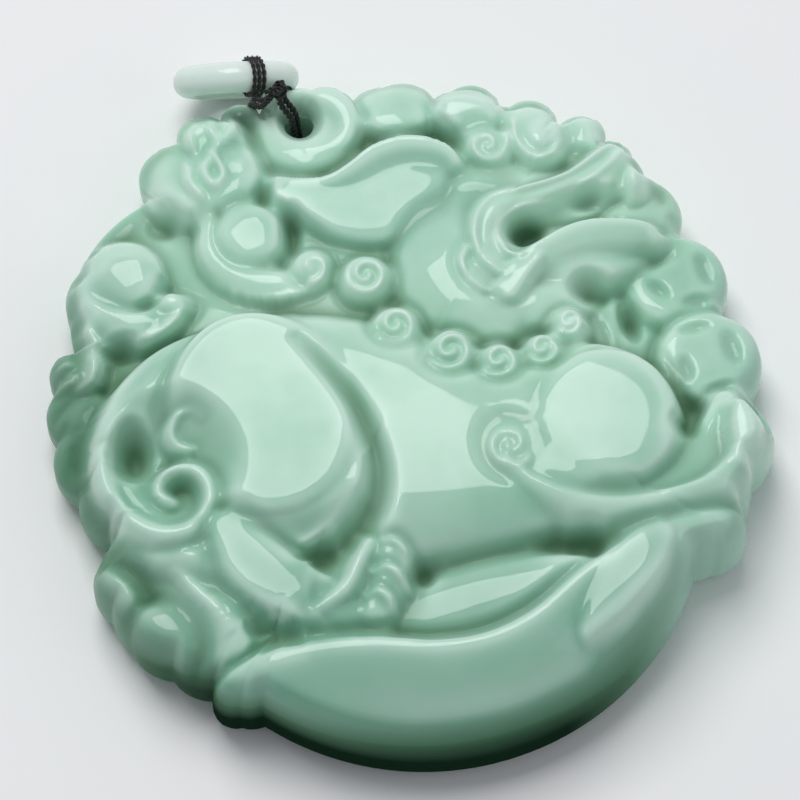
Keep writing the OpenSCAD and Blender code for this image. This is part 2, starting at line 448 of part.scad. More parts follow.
// Closed smooth line, and a tube along it whose sections keep one side toward a given direction
function closed_line(p, steps) = let (n = len(p)) [for (i = [0:n - 1], k = [0:steps - 1]) let (
    a = p[(i + n - 1) % n], b = p[i], c = p[(i + 1) % n], d = p[(i + 2) % n])
    eased(a, b, c, d, k / steps)];
function unit(v) = v / norm(v);
module closed_tube(line, r, aside, sides = 6) {
    n = len(line);
    rings = [for (i = [0:n - 1]) let (
        t = unit(line[(i + 1) % n] - line[(i + n - 1) % n]),
        u = unit(aside - (aside * t) * t), v = cross(t, u))
        for (k = [0:sides - 1]) line[i] + r * (cos(360 * k / sides) * u + sin(360 * k / sides) * v)];
    polyhedron(points = rings, faces = [for (i = [0:n - 1], k = [0:sides - 1], h = [0, 1]) let (
        a = i * sides + k, b = i * sides + (k + 1) % sides,
        c = ((i + 1) % n) * sides + k, d = ((i + 1) % n) * sides + (k + 1) % sides)
        h == 0 ? [a, d, b] : [a, c, d]]);
}

// Turns round the ring, the knot beside them, and a hitch under them
thread_gap = 0.06;
band_turn = 22.6;
band_reach = ring_tube + thread_gap + thread_width / 2;
knot_radius = 0.65;
knot_place = on_ring([3.1, -(ring_mean + 0.9), -0.95]);
hitch_radius = 0.5;
hitch_beyond = 0.42;
hitch_out = band_reach + hitch_beyond;
hitch_angle = 29;
hitch_reach = ring_mean + hitch_out * cos(hitch_angle);
hitch_place = on_ring(
    [hitch_reach * sin(band_turn), -hitch_reach * cos(band_turn), -hitch_out * sin(hitch_angle)]);
// Half the distance between the two runs of the loop, and the way from one to the other
run_gap = 0.02;
loop_gap = thread_width / 2 + run_gap;
loop_aside = [0.7, 0.7, 0];
// Loop from the knot down through the hole, along the back, and up past the edge to the knot
// Columns: x and y from the hole or from the end of the channel, and z
down_rows = [[-0.9, 1.5, 7.4], [-0.3, 0.75, 5.9], [-0.2, 0.35, 4], [-0.15, 0.15, 1.4], [-0.9, 0.9, 0.38]];
up_rows = [[0.9, -0.9, 0.38], [-0.1, 0.1, 1.4], [0, 0.1, 4], [0.5, -1.5, 6.5]];
function risen(p) = [p[0], p[1], p[2] > edge_top ? p[2] * relief_rise : p[2]];
loop_points = concat(
    [knot_place],
    [for (r = down_rows) risen([hole_at[0], hole_at[1], 0] + r)],
    [for (r = up_rows) risen([channel_to[0], channel_to[1], 0] + r)]);
loop_steps = 4;
turn_steps = 24;

module turn_round_ring(s) {
    closed_tube([for (k = [0:turn_steps - 1]) let (
        a = 360 * k / turn_steps, m = ring_mean + band_reach * cos(a))
        on_ring([m * sin(band_turn) + s * loop_gap * cos(band_turn),
            s * loop_gap * sin(band_turn) - m * cos(band_turn), band_reach * sin(a)])],
        thread_width / 2, on_ring([cos(band_turn), sin(band_turn), 0]) - ring_place);
}

module thread() {
    color(thread_colour) {
        for (s = [-1, 1]) {
            closed_tube(closed_line([for (p = loop_points) p + s * loop_gap * loop_aside], loop_steps),
                thread_width / 2, loop_aside);
            turn_round_ring(s);
        }
        translate(knot_place)
            sphere(r = knot_radius, $fn = 20);
        translate(hitch_place)
            sphere(r = hitch_radius, $fn = 16);
    }
}

carved_pendant();
bail_ring();
thread();
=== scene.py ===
"""Looks of a round jade pendant: the carved stone, its small ring and the thread that ties them.

The stone's face is one relief, laid up form by form from the same tables as the solid's source, on a
finer grid. Lengths are millimetres in the object's own frame; meshes are in metres.
"""
import logging
import math
from dataclasses import dataclass, field
from enum import Enum
from typing import Sequence

import bmesh
import bpy
import numpy as np
from mathutils import Matrix, Vector


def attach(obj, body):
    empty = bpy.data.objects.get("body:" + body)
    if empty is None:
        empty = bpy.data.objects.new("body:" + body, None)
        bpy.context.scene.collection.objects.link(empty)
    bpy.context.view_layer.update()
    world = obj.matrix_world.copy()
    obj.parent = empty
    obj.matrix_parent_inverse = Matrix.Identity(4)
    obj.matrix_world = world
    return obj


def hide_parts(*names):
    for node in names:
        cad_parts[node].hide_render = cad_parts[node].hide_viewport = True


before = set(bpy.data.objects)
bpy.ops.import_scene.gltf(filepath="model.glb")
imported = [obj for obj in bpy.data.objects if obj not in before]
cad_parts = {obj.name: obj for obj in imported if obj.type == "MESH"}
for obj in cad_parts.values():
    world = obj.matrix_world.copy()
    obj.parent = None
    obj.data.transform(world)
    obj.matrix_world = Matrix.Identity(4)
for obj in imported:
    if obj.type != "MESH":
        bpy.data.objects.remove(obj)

LOG = logging.getLogger("pendant")
MM = 0.001
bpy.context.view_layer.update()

Array = np.ndarray
Colour = tuple[float, float, float]
Place = tuple[float, float, float]

# Where the drawing of the forms lies: a form at height z shows aside of its place by this per mm
LEAN = (0.131, 0.404)
DRAWN_LEVEL = 8.0
DRAWN_MIDDLE = (0.3, 1.4)

# Steps between two points of a drawn line and along a curl, and how far a curl closes in
LINE_STEPS = 8
CURL_STEPS = 48
CURL_CLOSES = 0.88


def seat(x: float, y: float, z: float) -> tuple[float, float]:
    """Place in the object's frame of a point that the drawing shows at x, y and height z."""
    rise = z - DRAWN_LEVEL
    return x - rise * LEAN[0] - DRAWN_MIDDLE[0], y - rise * LEAN[1] - DRAWN_MIDDLE[1]


# The cord hole's middle, and where the thread's channel leaves the back
HOLE = seat(-0.8, 27.0, 5.8)
CHANNEL_END = (-3.6, 30.3)


def smooth_line(points: Array, steps: int, closed: bool = False) -> Array:
    """Smooth line through points.

    Args:
        points: one row per point, any number of columns.
        steps: steps between each two points.
        closed: whether the line runs back to its first point.

    Returns:
        The line's points, one row each.
    """
    p = np.asarray(points, float)
    q = np.vstack([p[-1:], p, p[:2]]) if closed else np.vstack([2 * p[0] - p[1], p, 2 * p[-1] - p[-2]])
    out = []
    for i in range(len(p) if closed else len(p) - 1):
        a, b, c, d = q[i:i + 4]
        for k in range(steps):
            t = k / steps
            out.append(0.5 * (2 * b + (c - a) * t + (2 * a - 5 * b + 4 * c - d) * t ** 2
                              + (3 * b - a - 3 * c + d) * t ** 3))
    return np.array(out if closed else out + [p[-1]])


def in_oval(x: Array, y: Array, a: float, b: float, turn: float) -> Array:
    """Square of how far out points lie in an oval, 1 at its edge, from their ways from its middle."""
    c, s = math.cos(math.radians(turn)), math.sin(math.radians(turn))
    return ((x * c + y * s) / a) ** 2 + ((y * c - x * s) / b) ** 2


@dataclass
class Relief:
    """A field of heights that forms are laid on, one after another, over a ground that falls outward."""

    x: Array
    y: Array
    ground_top: float = 9.0
    ground_fall: float = 4.5
    ground_radius: float = 27.0
    ground_end: float = 1.2
    joint: float = 0.35
    reach: float = 0.9
    z: Array = field(init=False)

    def __post_init__(self) -> None:
        """Starts with the bare ground."""
        self.z = self.ground(self.x, self.y)

    def ground(self, x: "Array | float", y: "Array | float") -> "Array | float":
        """Height of the ground at a place."""
        out = np.minimum((x * x + y * y) / self.ground_radius ** 2, self.ground_end)
        return self.ground_top - self.ground_fall * out

    def near(self, x0: float, x1: float, y0: float, y1: float) -> Array:
        """Mask of the points inside a box."""
        return (self.x > x0) & (self.x < x1) & (self.y > y0) & (self.y < y1)

    def lay(self, mask: Array, top: Array, out: Array, sink: float) -> None:
        """Sinks the ground round a form and raises the form over it.

        Args:
            mask: the points that the form reaches.
            top: the form's height at each of them.
            out: each one's distance outside the form, below 0 inside.
            sink: how far the ground sinks at the form's edge.
        """
        ground = self.z[mask] - sink * (1 - np.clip(out / self.reach, 0, 1)) ** 2
        close = np.clip(self.joint - np.abs(ground - top), 0, None) / self.joint
        self.z[mask] = np.where(out < 0, np.maximum(ground, top) + close ** 2 * self.joint / 4, ground)


@dataclass
class Round:
    """A domed form, round or oval. It leans as the ground does where it follows the ground."""

    row: Sequence[float]
    follows: float = 0.0

    def lay_on(self, relief: Relief) -> None:
        """Lays the form on a relief.

        Args:
            relief: the field of heights.
        """
        x, y, a, b, turn, top, foot, full, sink = self.row
        cx, cy = seat(x, y, top)
        w = max(a, b) + relief.reach
        m = relief.near(cx - w, cx + w, cy - w, cy + w)
        px, py = relief.x[m], relief.y[m]
        q = in_oval(px - cx, py - cy, a, b, turn)
        r = np.sqrt(q) + 1e-6
        height = foot + (top - foot) * np.sqrt(np.clip(1 - q ** (full / 2), 0, None))
        height = height + self.follows * (relief.ground(px, py) - relief.ground(cx, cy))
        relief.lay(m, height, (r - 1) * np.hypot(px - cx, py - cy) / r, sink)


@dataclass
class Pit:
    """A round or oval hollow."""

    row: Sequence[float]

    def lay_on(self, relief: Relief) -> None:
        """Sinks the hollow into a relief.

        Args:
            relief: the field of heights.
        """
        x, y, a, b, turn, depth, level, full = self.row
        cx, cy = seat(x, y, level)
        w = max(a, b)
        m = relief.near(cx - w, cx + w, cy - w, cy + w)
        q = in_oval(relief.x[m] - cx, relief.y[m] - cy, a, b, turn)
        relief.z[m] -= depth * np.clip(1 - q ** (full / 2), 0, None) ** 1.5


@dataclass
class Line:
    """Places along a line, each with a half width and a height or depth."""

    line: Array

    def spans(self, relief: Relief, margin: float) -> tuple[Array, ...]:
        """How the relief's near points lie to each step of the line.

        Args:
            relief: the field of heights.
            margin: how far round the line to look.

        Returns:
            The mask of near points, and for each and each step its distance to the left, its distance past
            the step's ends, and the nearest place's half width, height, and place itself.
        """
        w = self.line[:, 2].max() + margin
        lo, hi = self.line[:, :2].min(0) - w, self.line[:, :2].max(0) + w
        m = relief.near(lo[0], hi[0], lo[1], hi[1])
        x, y = relief.x[m][:, None], relief.y[m][:, None]
        a, d = self.line[:-1], np.diff(self.line, axis=0)
        length = np.hypot(d[:, 0], d[:, 1]) + 1e-9
        along = ((x - a[:, 0]) * d[:, 0] + (y - a[:, 1]) * d[:, 1]) / length
        left = ((y - a[:, 1]) * d[:, 0] - (x - a[:, 0]) * d[:, 1]) / length
        held = np.clip(along, 0, length)
        t = held / length
        return (m, left, np.abs(along - held), a[:, 2] + t * d[:, 2], a[:, 3] + t * d[:, 3],
                a[:, 0] + t * d[:, 0], a[:, 1] + t * d[:, 1])


@dataclass
class Band(Line):
    """A raised form along a line; its crest may lie left of the middle."""

    foot: float
    full: float
    lean: float
    sink: float
    follows: float = 0.0

    @classmethod
    def drawn(cls, row: Sequence, follows: float = 0.0) -> "Band":
        """Band from a row of the tables."""
        line = smooth_line([[*seat(x, y, top), wide, top] for x, y, wide, top in row[0]], LINE_STEPS)
        return cls(line, *row[1:], follows)

    @classmethod
    def curl(cls, row: Sequence[float]) -> "Band":
        """Makes a spiral band.

        Args:
            row: its row of the tables.

        Returns:
            The band.
        """
        x, y, radius, turns, start, hand, w0, w1, z0, z1, foot = row
        cx, cy = seat(x, y, z0)
        t = np.linspace(0, 1, CURL_STEPS + 1)
        a = np.radians(start + hand * 360 * turns * t)
        s = radius * (1 - CURL_CLOSES * t)
        line = np.stack([cx + s * np.cos(a), cy + s * np.sin(a), w0 + (w1 - w0) * t, z0 + (z1 - z0) * t], -1)
        return cls(line, foot, 2, 0, 0)

    def lay_on(self, relief: Relief) -> None:
        """Lays the form on a relief.

        Args:
            relief: the field of heights.
        """
        m, left, past, wide, top, nx, ny = self.spans(relief, relief.reach)
        side = left / wide - self.lean
        q = np.hypot(side / np.where(side > 0, 1 - self.lean, 1 + self.lean), past / wide)
        height = self.foot + (top - self.foot) * np.sqrt(np.clip(1 - q ** self.full, 0, None))
        ground = relief.ground(relief.x[m], relief.y[m])[:, None] - relief.ground(nx, ny)
        out = (np.hypot(left, past) - wide).min(1)
        relief.lay(m, (height + self.follows * ground).max(1), out, self.sink)


@dataclass
class Cut(Line):
    """A groove along a line; the last column is its depth."""

    @classmethod
    def drawn(cls, row: Sequence) -> "Cut":
        """Cut from a row of the tables."""
        points, level = row
        return cls(smooth_line([[*seat(x, y, level), wide, deep] for x, y, wide, deep in points], LINE_STEPS))

    def lay_on(self, relief: Relief) -> None:
        """Sinks the groove into a relief.

        Args:
            relief: the field of heights.
        """
        m, left, past, wide, depth, _, _ = self.spans(relief, 0.0)
        q = np.clip(np.hypot(left, past) / wide, 0, 1)
        relief.z[m] -= (depth * (1 - q * q) ** 2).max(1)


# Lobes of the stone's outline. Columns: x, y, radius, height at which the lobe is widest
LOBES = [
    [0, 0, 26.6, 4.2], [-1.5, -8, 22.6, 3], [-1.2, 27, 3, 3.6], [1.8, 27, 2.3, 3.6], [-5.4, 28.6, 1.6, 3.6],
    [-8.8, 27.9, 2.2, 3.8], [-12.1, 25.3, 2.9, 3.8], [-12.6, 12.5, 11.7, 4], [-20, 16.2, 3.9, 4.2],
    [-25, 11, 1.9, 4.2], [-25.3, 7.3, 2.9, 4], [-25.4, 3.2, 3.4, 4], [-24.6, -0.8, 3.3, 4.2],
    [-25.6, -7.6, 3.1, 4.4], [-24.8, -10.2, 3.2, 4.3], [-23.5, -12.2, 3.7, 4.2], [-21.5, -15, 3.4, 4],
    [-20.8, -19.2, 1.7, 4.5], [-19.5, -19.2, 2.3, 4.2], [17.9, -17.2, 3.2, 4.4], [19.7, -17.8, 2.6, 4.4],
    [20.5, -14, 3.5, 4.6], [22.8, -10.5, 4.3, 4.6], [24.2, -3.9, 4.2, 4.4], [23.9, 3.6, 4.2, 4.4],
    [22.9, 10.2, 3.6, 4.4], [21.9, 14.2, 2.8, 4.4], [23.1, 16.3, 1.3, 4.6], [20.8, 18.7, 2.1, 4.2],
    [19.2, 18.8, 1.5, 4.2], [17.2, 21.2, 2.3, 4.2], [15.4, 21.7, 1.8, 4.2], [13, 23.9, 2.4, 4.2],
    [11.4, 24, 2, 4], [7.6, 25.2, 2.9, 4], [5.6, 25.9, 2.3, 3.8]
]
# Row of hair curls under the jaw. Columns: x, y, radius, top
HAIR = [
    [0.3, 12.3, 2.3, 10.4], [1.2, 7.4, 2.3, 11.3], [4.7, 4, 2.4, 11.7], [8.1, 2, 2.1, 11.6],
    [11.7, 1.9, 1.9, 11.3], [14.5, 3.4, 1.7, 10.9]
]
# The carving, in the drawing's millimetres. Later forms lie over earlier ones. Each group has the kind of
# form, a row for each form, and, where the forms lean as the ground does, how much they follow it.
# Round: x, y, half length, half width, turn, top, foot, fullness, sink
# Band.drawn: points of x, y, half width, top; then foot, fullness, lean of the crest to the left, sink
# Band.curl: x, y, radius, turns, start, hand, half widths out and in, tops out and in, foot
# Cut.drawn: points of x, y, half width, depth; then the level they are drawn at
# Pit: x, y, half length, half width, turn, depth, level, fullness
FACE = (
    # Lobes along the top edge, the lobe over the snout, the pad round the cord hole, the coins
    (Band.drawn, [[[[5.7, 26.9, 2, 6], [7.6, 26.6, 2.4, 6.3], [9.4, 25.9, 1.9, 6.3]], 4.4, 2.6, 0, 0.3]], 1),
    (Round, [
        [7.3, 26, 3.7, 2.8, -15, 7.1, 5.6, 2.4, 0.15], [12.9, 24, 3.3, 2.7, -35, 7.7, 6.2, 4, 0.15],
        [21.3, 19.2, 2.1, 2, 0, 7.6, 6, 3, 0.3], [20.2, 17.6, 2.4, 1.7, 0, 7.2, 6, 3, 0],
        [-0.3, 26.8, 4.7, 4.9, 0, 6.5, 4.8, 3, 0.3], [23.6, 10.8, 4.1, 4, 0, 6.9, 5.2, 8, 0.3]
    ], 1),
    (Round, [[24.2, 4.2, 4.8, 4.5, 0, 7.3, 5.2, 8, 0.4], [24.5, -3.1, 4.9, 4.5, 0, 7.7, 5.2, 8, 0.5]], 0.35),
    (Round, [[12.7, 23.6, 2.9, 1.7, -28, 8.5, 7.6, 8, 0]]),
    (Band.drawn, [
        [[[-1.2, 30.2, 0.8, 6.2], [1.2, 29.5, 1.3, 6.8], [2.7, 28.2, 1.6, 7.1], [3, 26.3, 1.6, 7.2],
          [1.9, 25, 1.3, 7.2], [-0.4, 24.6, 0.8, 7]], 5.2, 2.2, 0.2, 0]
    ], 1),
    # Flame tuft left of the hole, with its bars, ridge and small curls, and the folds between the lobes
    (Round, [[-9.4, 25.3, 5.2, 4.6, -10, 7.8, 5.6, 4, 0.2], [-8.4, 28.6, 3.2, 1.9, 5, 7, 5.8, 3, 0.1]], 1),
    (Band.drawn, [
        [[[-8.4, 26.5, 0.45, 8.6], [-9.4, 25.4, 0.5, 9], [-9, 23.9, 0.5, 9.3], [-7.9, 24.6, 0.45, 9.1],
          [-8.1, 26.3, 0.4, 8.6]], 7, 2, 0, 0.1],
        [[[-10.4, 26, 0.45, 8.6], [-10.8, 24.7, 0.5, 8.9], [-10.2, 23.4, 0.45, 9.2]], 7, 2, 0, 0.1],
        [[[-8.4, 26.8, 0.45, 8.5], [-6.7, 27.8, 0.6, 8.2], [-5.2, 28.6, 0.5, 7.8]], 6.2, 2, 0, 0.1],
        [[[-7.6, 28.2, 0.4, 8], [-8.1, 29.1, 0.45, 7.8], [-9.3, 29.1, 0.45, 7.8],
          [-9.7, 28.1, 0.4, 8.1]], 6.2, 2, 0, 0.1],
        [[[-7.3, 25.4, 0.4, 8.7], [-6.1, 24.9, 0.4, 8.6]], 7, 2, 0, 0.1]
    ], 1),
    (Cut.drawn, [
        [[[-7.6, 25.9, 0.7, 0.3], [-6.3, 26.4, 1, 0.5], [-5.4, 26.9, 0.7, 0.3]], 7],
        [[[-4.7, 28.8, 0.5, 0.9], [-4.8, 26, 0.6, 0.9], [-4.9, 23, 0.5, 0.7]], 6],
        [[[-7, 30.4, 0.6, 0.8], [-7, 29, 0.5, 0.6], [-7.2, 27.6, 0.4, 0.3]], 6],
        [[[-11.4, 29.4, 0.6, 0.8], [-10.9, 28, 0.5, 0.6], [-10.4, 26.6, 0.4, 0.3]], 6],
        [[[4.2, 29.4, 0.6, 0.8], [4.2, 27.4, 0.5, 0.7], [4.6, 25.2, 0.4, 0.4]], 6],
        [[[10.8, 27.4, 0.6, 0.9], [10.4, 25.8, 0.5, 0.8], [10.4, 23.8, 0.4, 0.4]], 6.4],
        [[[20, 21.6, 0.6, 0.9], [19.8, 20, 0.5, 0.8], [19.6, 18.4, 0.4, 0.4]], 6.6]
    ]),
    # Cloud, wisp, small round and fur at the left edge
    (Band.drawn, [
        [[[-22.1, 18.4, 1, 7.7], [-21.6, 16.4, 1.4, 8.1], [-20.3, 14.6, 1.7, 8.4], [-18.3, 13.6, 1.6, 8.6],
          [-16.3, 13.8, 1.4, 8.6], [-14.9, 14.6, 1.1, 8.5]], 6.4, 2.3, 0.6, 0.2]
    ], 1),
    (Round, [
        [-18.2, 18.9, 3.4, 3.6, 35, 8.7, 6.9, 2.5, 0.2], [-15.3, 15, 1.4, 1.2, 0, 8.9, 7.4, 2.5, 0.2]
    ], 0.5),
    (Round, [
        [-25.1, 11.7, 2.4, 2.2, 0, 6.9, 5.4, 3.4, 0.3], [-26.2, 4.8, 4, 7, 0, 6.6, 5, 3, 0.1],
        [-26.7, -7.6, 2.2, 3.2, 15, 8.7, 5.4, 2.6, 0.4]
    ], 1),
    (Band.drawn, [
        [[[-22.7, 14.8, 0.6, 7.6], [-22.4, 12.8, 0.75, 8], [-22.9, 11, 0.7, 7.8],
          [-24, 9.8, 0.6, 7.2]], 5.8, 2, 0, 0.2]
    ], 1),
    # Leaf-shaped hollows of the coins
    (Pit, [
        [26.4, 4.1, 0.8, 1.8, 0, 0.5, 6.6, 4], [23, 6.1, 1.5, 0.7, 25, 0.5, 7, 4],
        [24.9, 1.8, 1.5, 0.6, -5, 0.5, 7, 4], [22.2, 3.6, 0.6, 1.2, 30, 0.5, 7.2, 4],
        [26.1, -3.1, 0.85, 1.8, 0, 0.5, 7, 4], [23.7, -0.5, 1.6, 0.65, -5, 0.5, 7.3, 4],
        [24.1, -6, 1.5, 0.6, 5, 0.5, 7.4, 4], [22, -3.6, 0.6, 1.3, 0, 0.5, 7.5, 4],
        [25.8, 9, 0.6, 1.1, 30, 0.5, 6.6, 4], [25.4, 11.6, 0.6, 1.2, -15, 0.5, 6.4, 4]
    ]),
    # Tail curling under the hind leg
    (Band.drawn, [
        [[[-25, -4.4, 1.4, 8.8], [-22.5, -6.8, 2.5, 9.6], [-20.8, -9.6, 2.8, 10], [-19.8, -12.8, 2.7, 9.9],
          [-20, -15.5, 2.5, 9.2], [-21.6, -17.2, 2.2, 8]], 6.6, 2.4, 0.4, 0.3]
    ], 1),
    (Round, [[-16.8, -13.6, 3.6, 2.8, 0, 8.9, 7, 3, 0], [-24.3, -12.3, 3.2, 3.5, 20, 9, 6, 3.6, 0.2]], 0.4),
    # Cloud in the middle
    (Band.drawn, [
        [[[-10.4, 20.8, 0.9, 8], [-11, 18.8, 1.2, 8.3], [-10.5, 16.8, 1.5, 8.6], [-9, 15, 1.6, 8.9],
          [-6.8, 13.8, 1.6, 9.1], [-4.6, 13.4, 1.3, 9.1]], 6.9, 2.3, 0.45, 0.3]
    ], 1),
    (Round, [[-7.4, 18.9, 3, 3.2, 0, 9.2, 7.5, 3.4, 0.3], [-3.6, 14.6, 1.9, 1.8, 0, 9.5, 7.8, 3, 0.4]], 0.4),
    # Head, brow and eye, then the leaf-shaped horn with its rolled edge
    (Round, [
        [12.5, 14.6, 10.2, 8.8, 20, 9.5, 6.2, 2.2, 0.2], [17.3, 20.4, 2.8, 3.5, 0, 8.6, 6.8, 3, 0.3],
        [17.6, 20.1, 1.2, 1.5, 0, 9.1, 8.2, 2.2, 0.15], [13.1, 20.6, 2, 2, 0, 8.9, 7.8, 3, 0.3]
    ], 1),
    (Band.drawn, [
        [[[-3.9, 21.4, 1.2, 8.8], [-1.4, 20, 2.1, 9], [1.6, 18.6, 3.6, 9.1], [4.6, 18.5, 4.1, 9.1],
          [7, 19.8, 3, 9.1]], 7.6, 6, 0, 0.3]
    ]),
    (Band.drawn, [
        [[[-4.2, 23, 0.7, 8.6], [-2.6, 22, 0.9, 9], [0, 21.2, 1.1, 9.5], [2.4, 21.6, 1.4, 9.9],
          [4.8, 22.4, 1.6, 10.1], [7.3, 22.3, 1.6, 10.1], [9.3, 21, 1.4, 9.9],
          [10, 19.4, 1, 9.5]], 7.4, 1.4, 0.8, 0.1]
    ], 1),
    # Cheek, lips and chin, the lines along them, and the ring round the eye
    (Round, [
        [9, 10.6, 6.8, 7.3, 10, 10.8, 7.2, 2.6, 0.3], [13.6, 7.4, 5.4, 4.1, 5, 9.9, 7.4, 2.6, 0.1],
        [17.8, 9, 6, 3.4, -4, 9.7, 7.2, 2.6, 0.1]
    ], 1),
    (Band.drawn, [
        [[[23.5, 16.2, 1.1, 7.9], [21.6, 15.1, 1.7, 8.8], [18.8, 14.2, 2, 9.6], [15.8, 14.3, 1.7, 10.2],
          [13, 14.7, 1.4, 10.6], [10.9, 13.6, 1.4, 10.8], [10.4, 11.4, 1.4, 10.9], [11.1, 9.7, 1.3, 11],
          [12.8, 8.9, 1.1, 10.9]], 7.2, 2.8, -0.4, 0.2],
        [[[10.2, 7.4, 1.2, 11], [12.6, 8.8, 1.7, 11], [15, 9.6, 1.9, 10.9], [18, 10, 2, 10.7],
          [20.8, 9.5, 1.8, 10.1], [22.8, 8.9, 1.4, 9.3], [23.3, 7.9, 1, 8.6]], 7.4, 1.9, 0.7, 0.2],
        [[[10.8, 7.5, 1.05, 11], [12.3, 8.5, 0.85, 11.1], [14, 9.6, 0.5, 11.1]], 10.2, 4, 0, 0]
    ], 0.3),
    (Round, [[23.7, 13.7, 1, 1.9, -25, 8.7, 5, 7, 0.4]]),
    (Band.drawn, [
        [[[23.2, 17.8, 0.4, 8.5], [20.8, 16.8, 0.5, 9.4], [18, 15.9, 0.5, 10.1], [15, 15.7, 0.55, 10.6],
          [12.4, 16, 0.6, 10.8], [10.6, 15, 0.65, 11], [9.6, 13, 0.65, 11.2], [9.6, 11, 0.6, 11.3],
          [10.5, 9.2, 0.45, 11.2]], 8.4, 2, 0, 0.2],
        [[[23.9, 16.6, 0.35, 8.2], [21.8, 15.6, 0.45, 9.2], [20, 14.8, 0.45, 9.8],
          [18.2, 14.2, 0.35, 10.2]], 7.4, 2, 0, 0.1],
        [[[17, 13.9, 0.3, 9.9], [15.4, 14.1, 0.4, 10.4], [13.8, 14.1, 0.45, 10.7], [12.3, 13.3, 0.45, 11],
          [11.6, 12, 0.45, 11.1], [11.8, 10.7, 0.45, 11.1], [12.8, 9.9, 0.35, 11]], 8.6, 2, 0, 0.1],
        [[[8.8, 12.2, 0.4, 11.2], [7.9, 11, 0.5, 11.4], [8.1, 9.5, 0.5, 11.4],
          [8.9, 8.1, 0.35, 11.2]], 9.4, 2, 0, 0.3]
    ], 0.3),
    (Band.drawn, [
        [[[15.9, 21.8, 0.3, 9.2], [15.6, 20.2, 0.35, 9.3], [16.2, 18.5, 0.35, 9.3], [17.8, 17.9, 0.35, 9.3],
          [19, 18.9, 0.3, 9.2], [19.2, 20.6, 0.3, 9]], 7.4, 2, 0, 0.1]
    ], 1),
    # Body: hind part, back running forward to the chest, shoulder, haunch and the groove round it
    (Round, [[-13.8, 1.4, 12.4, 11.8, 0, 12.3, 7.4, 3.6, 0.4]]),
    (Band.drawn, [
        [[[-9, 0.4, 12, 12.3], [-4, -1, 10.8, 12.3], [0, -3, 9.5, 12.2], [3, -4.2, 8.8, 12.1],
          [6, -5, 8.2, 12], [9, -5.3, 7.9, 11.8], [13, -5.2, 7.6, 11.2]], 8, 4.8, 0.25, 0.4]
    ]),
    (Round, [
        [10.4, -6.9, 5.2, 3.5, -28, 12.3, 10.4, 6, 0], [14.8, -5, 6.2, 6.1, -8, 12.5, 10.4, 7.5, 0],
        [-11, 3.6, 7.6, 9.1, 0, 12.8, 10.6, 20, 0]
    ]),
    (Cut.drawn, [
        [[[-6.7, 8.6, 0.6, 0.5], [-5.7, 6.6, 0.9, 1], [-4.6, 4, 1.1, 1.4], [-3.8, 1, 1.2, 1.6],
          [-3.6, -2.2, 1.3, 1.8], [-4.3, -5, 1.6, 2.1], [-6, -7.4, 1.8, 2.4], [-9, -9, 1.8, 2.4],
          [-12, -8.8, 1.5, 2], [-14.4, -6.8, 1.3, 1.2]], 12.3],
        [[[-14, -6.4, 1.6, 0.5], [-11.5, -7.3, 2, 1], [-8.5, -7.2, 2, 1], [-6.4, -6, 1.6, 0.6]], 12.3]
    ]),
    # Dish of the haunch with its two curls
    (Pit, [[-19, 1.6, 5.7, 6.6, 15, 3, 11, 2.2]]),
    (Round, [[-17, 3.6, 2.6, 2.6, 0, 10.2, 8.6, 2.2, 0]]),
    (Band.drawn, [
        [[[-24.4, 4.2, 0.9, 10.8], [-24.8, 1.5, 1.1, 11], [-24.3, -1, 1.2, 11.2], [-23, -3, 1.3, 11.4],
          [-21.2, -4.1, 1.3, 11.6], [-19.2, -4.2, 1.3, 11.7], [-17.6, -3.1, 1.2, 11.7],
          [-17, -1.3, 1.1, 11.6], [-17.6, 0.3, 1, 11.5], [-19, 0.9, 0.9, 11.3], [-20.4, 0.5, 0.8, 11.2],
          [-21, -0.7, 0.7, 11.1], [-20.3, -1.6, 0.8, 11.1]], 9, 2, 0, 0.4]
    ]),
    # Hind leg, and its paw with three toes and their hooks
    (Band.drawn, [
        [[[-16.6, -5.2, 2, 11.5], [-15.6, -8.2, 2.9, 11.7], [-13.4, -11.5, 2.9, 11.5],
          [-10.8, -13.6, 2.7, 11], [-8.4, -13.8, 2.4, 10.6]], 9.2, 5, 0, 0.4]
    ]),
    (Round, [
        [-8, -13.2, 4.3, 3.5, 35, 10.2, 7.6, 3, 0.4], [-5.3, -11.4, 2, 2.5, 20, 11.1, 8.6, 2.4, 0.1],
        [-6.4, -13.6, 2, 2.3, 20, 10.9, 8.4, 2.4, 0.1], [-7.8, -15.3, 2.1, 2, 20, 10.6, 8.2, 2.4, 0.1]
    ], 1),
    (Band.drawn, [
        [[[-12.4, -13.9, 0.9, 11.2], [-9.4, -12.7, 1.1, 11.4], [-7.7, -10.9, 1.1, 11.5],
          [-6.6, -9.7, 1, 11.2]], 9, 2, 0, 0.2],
        [[[-5.6, -9.9, 0.4, 11.1], [-4.5, -10.3, 0.6, 11.4], [-3.9, -11.6, 0.4, 11.2]], 9.4, 2, 0, 0.2],
        [[[-7, -12.2, 0.4, 11], [-5.8, -12.1, 0.6, 11.3], [-5, -13.1, 0.6, 11.3],
          [-4.8, -14.4, 0.3, 10.9]], 9.2, 2, 0, 0.2],
        [[[-8.2, -14, 0.4, 10.7], [-7.1, -13.8, 0.6, 11], [-6.4, -14.7, 0.6, 11],
          [-6.4, -15.9, 0.3, 10.6]], 9, 2, 0, 0.2]
    ]),
    # Scrolled foreleg
    (Round, [[6.6, -5.2, 2.5, 2.8, 0, 12.2, 9.4, 3, 0.2]]),
    (Band.drawn, [
        [[[9.4, -8.6, 1.6, 11], [12.6, -11, 2, 10.8], [16.5, -11.8, 2.2, 10.5], [20.4, -11.2, 2.4, 10.1],
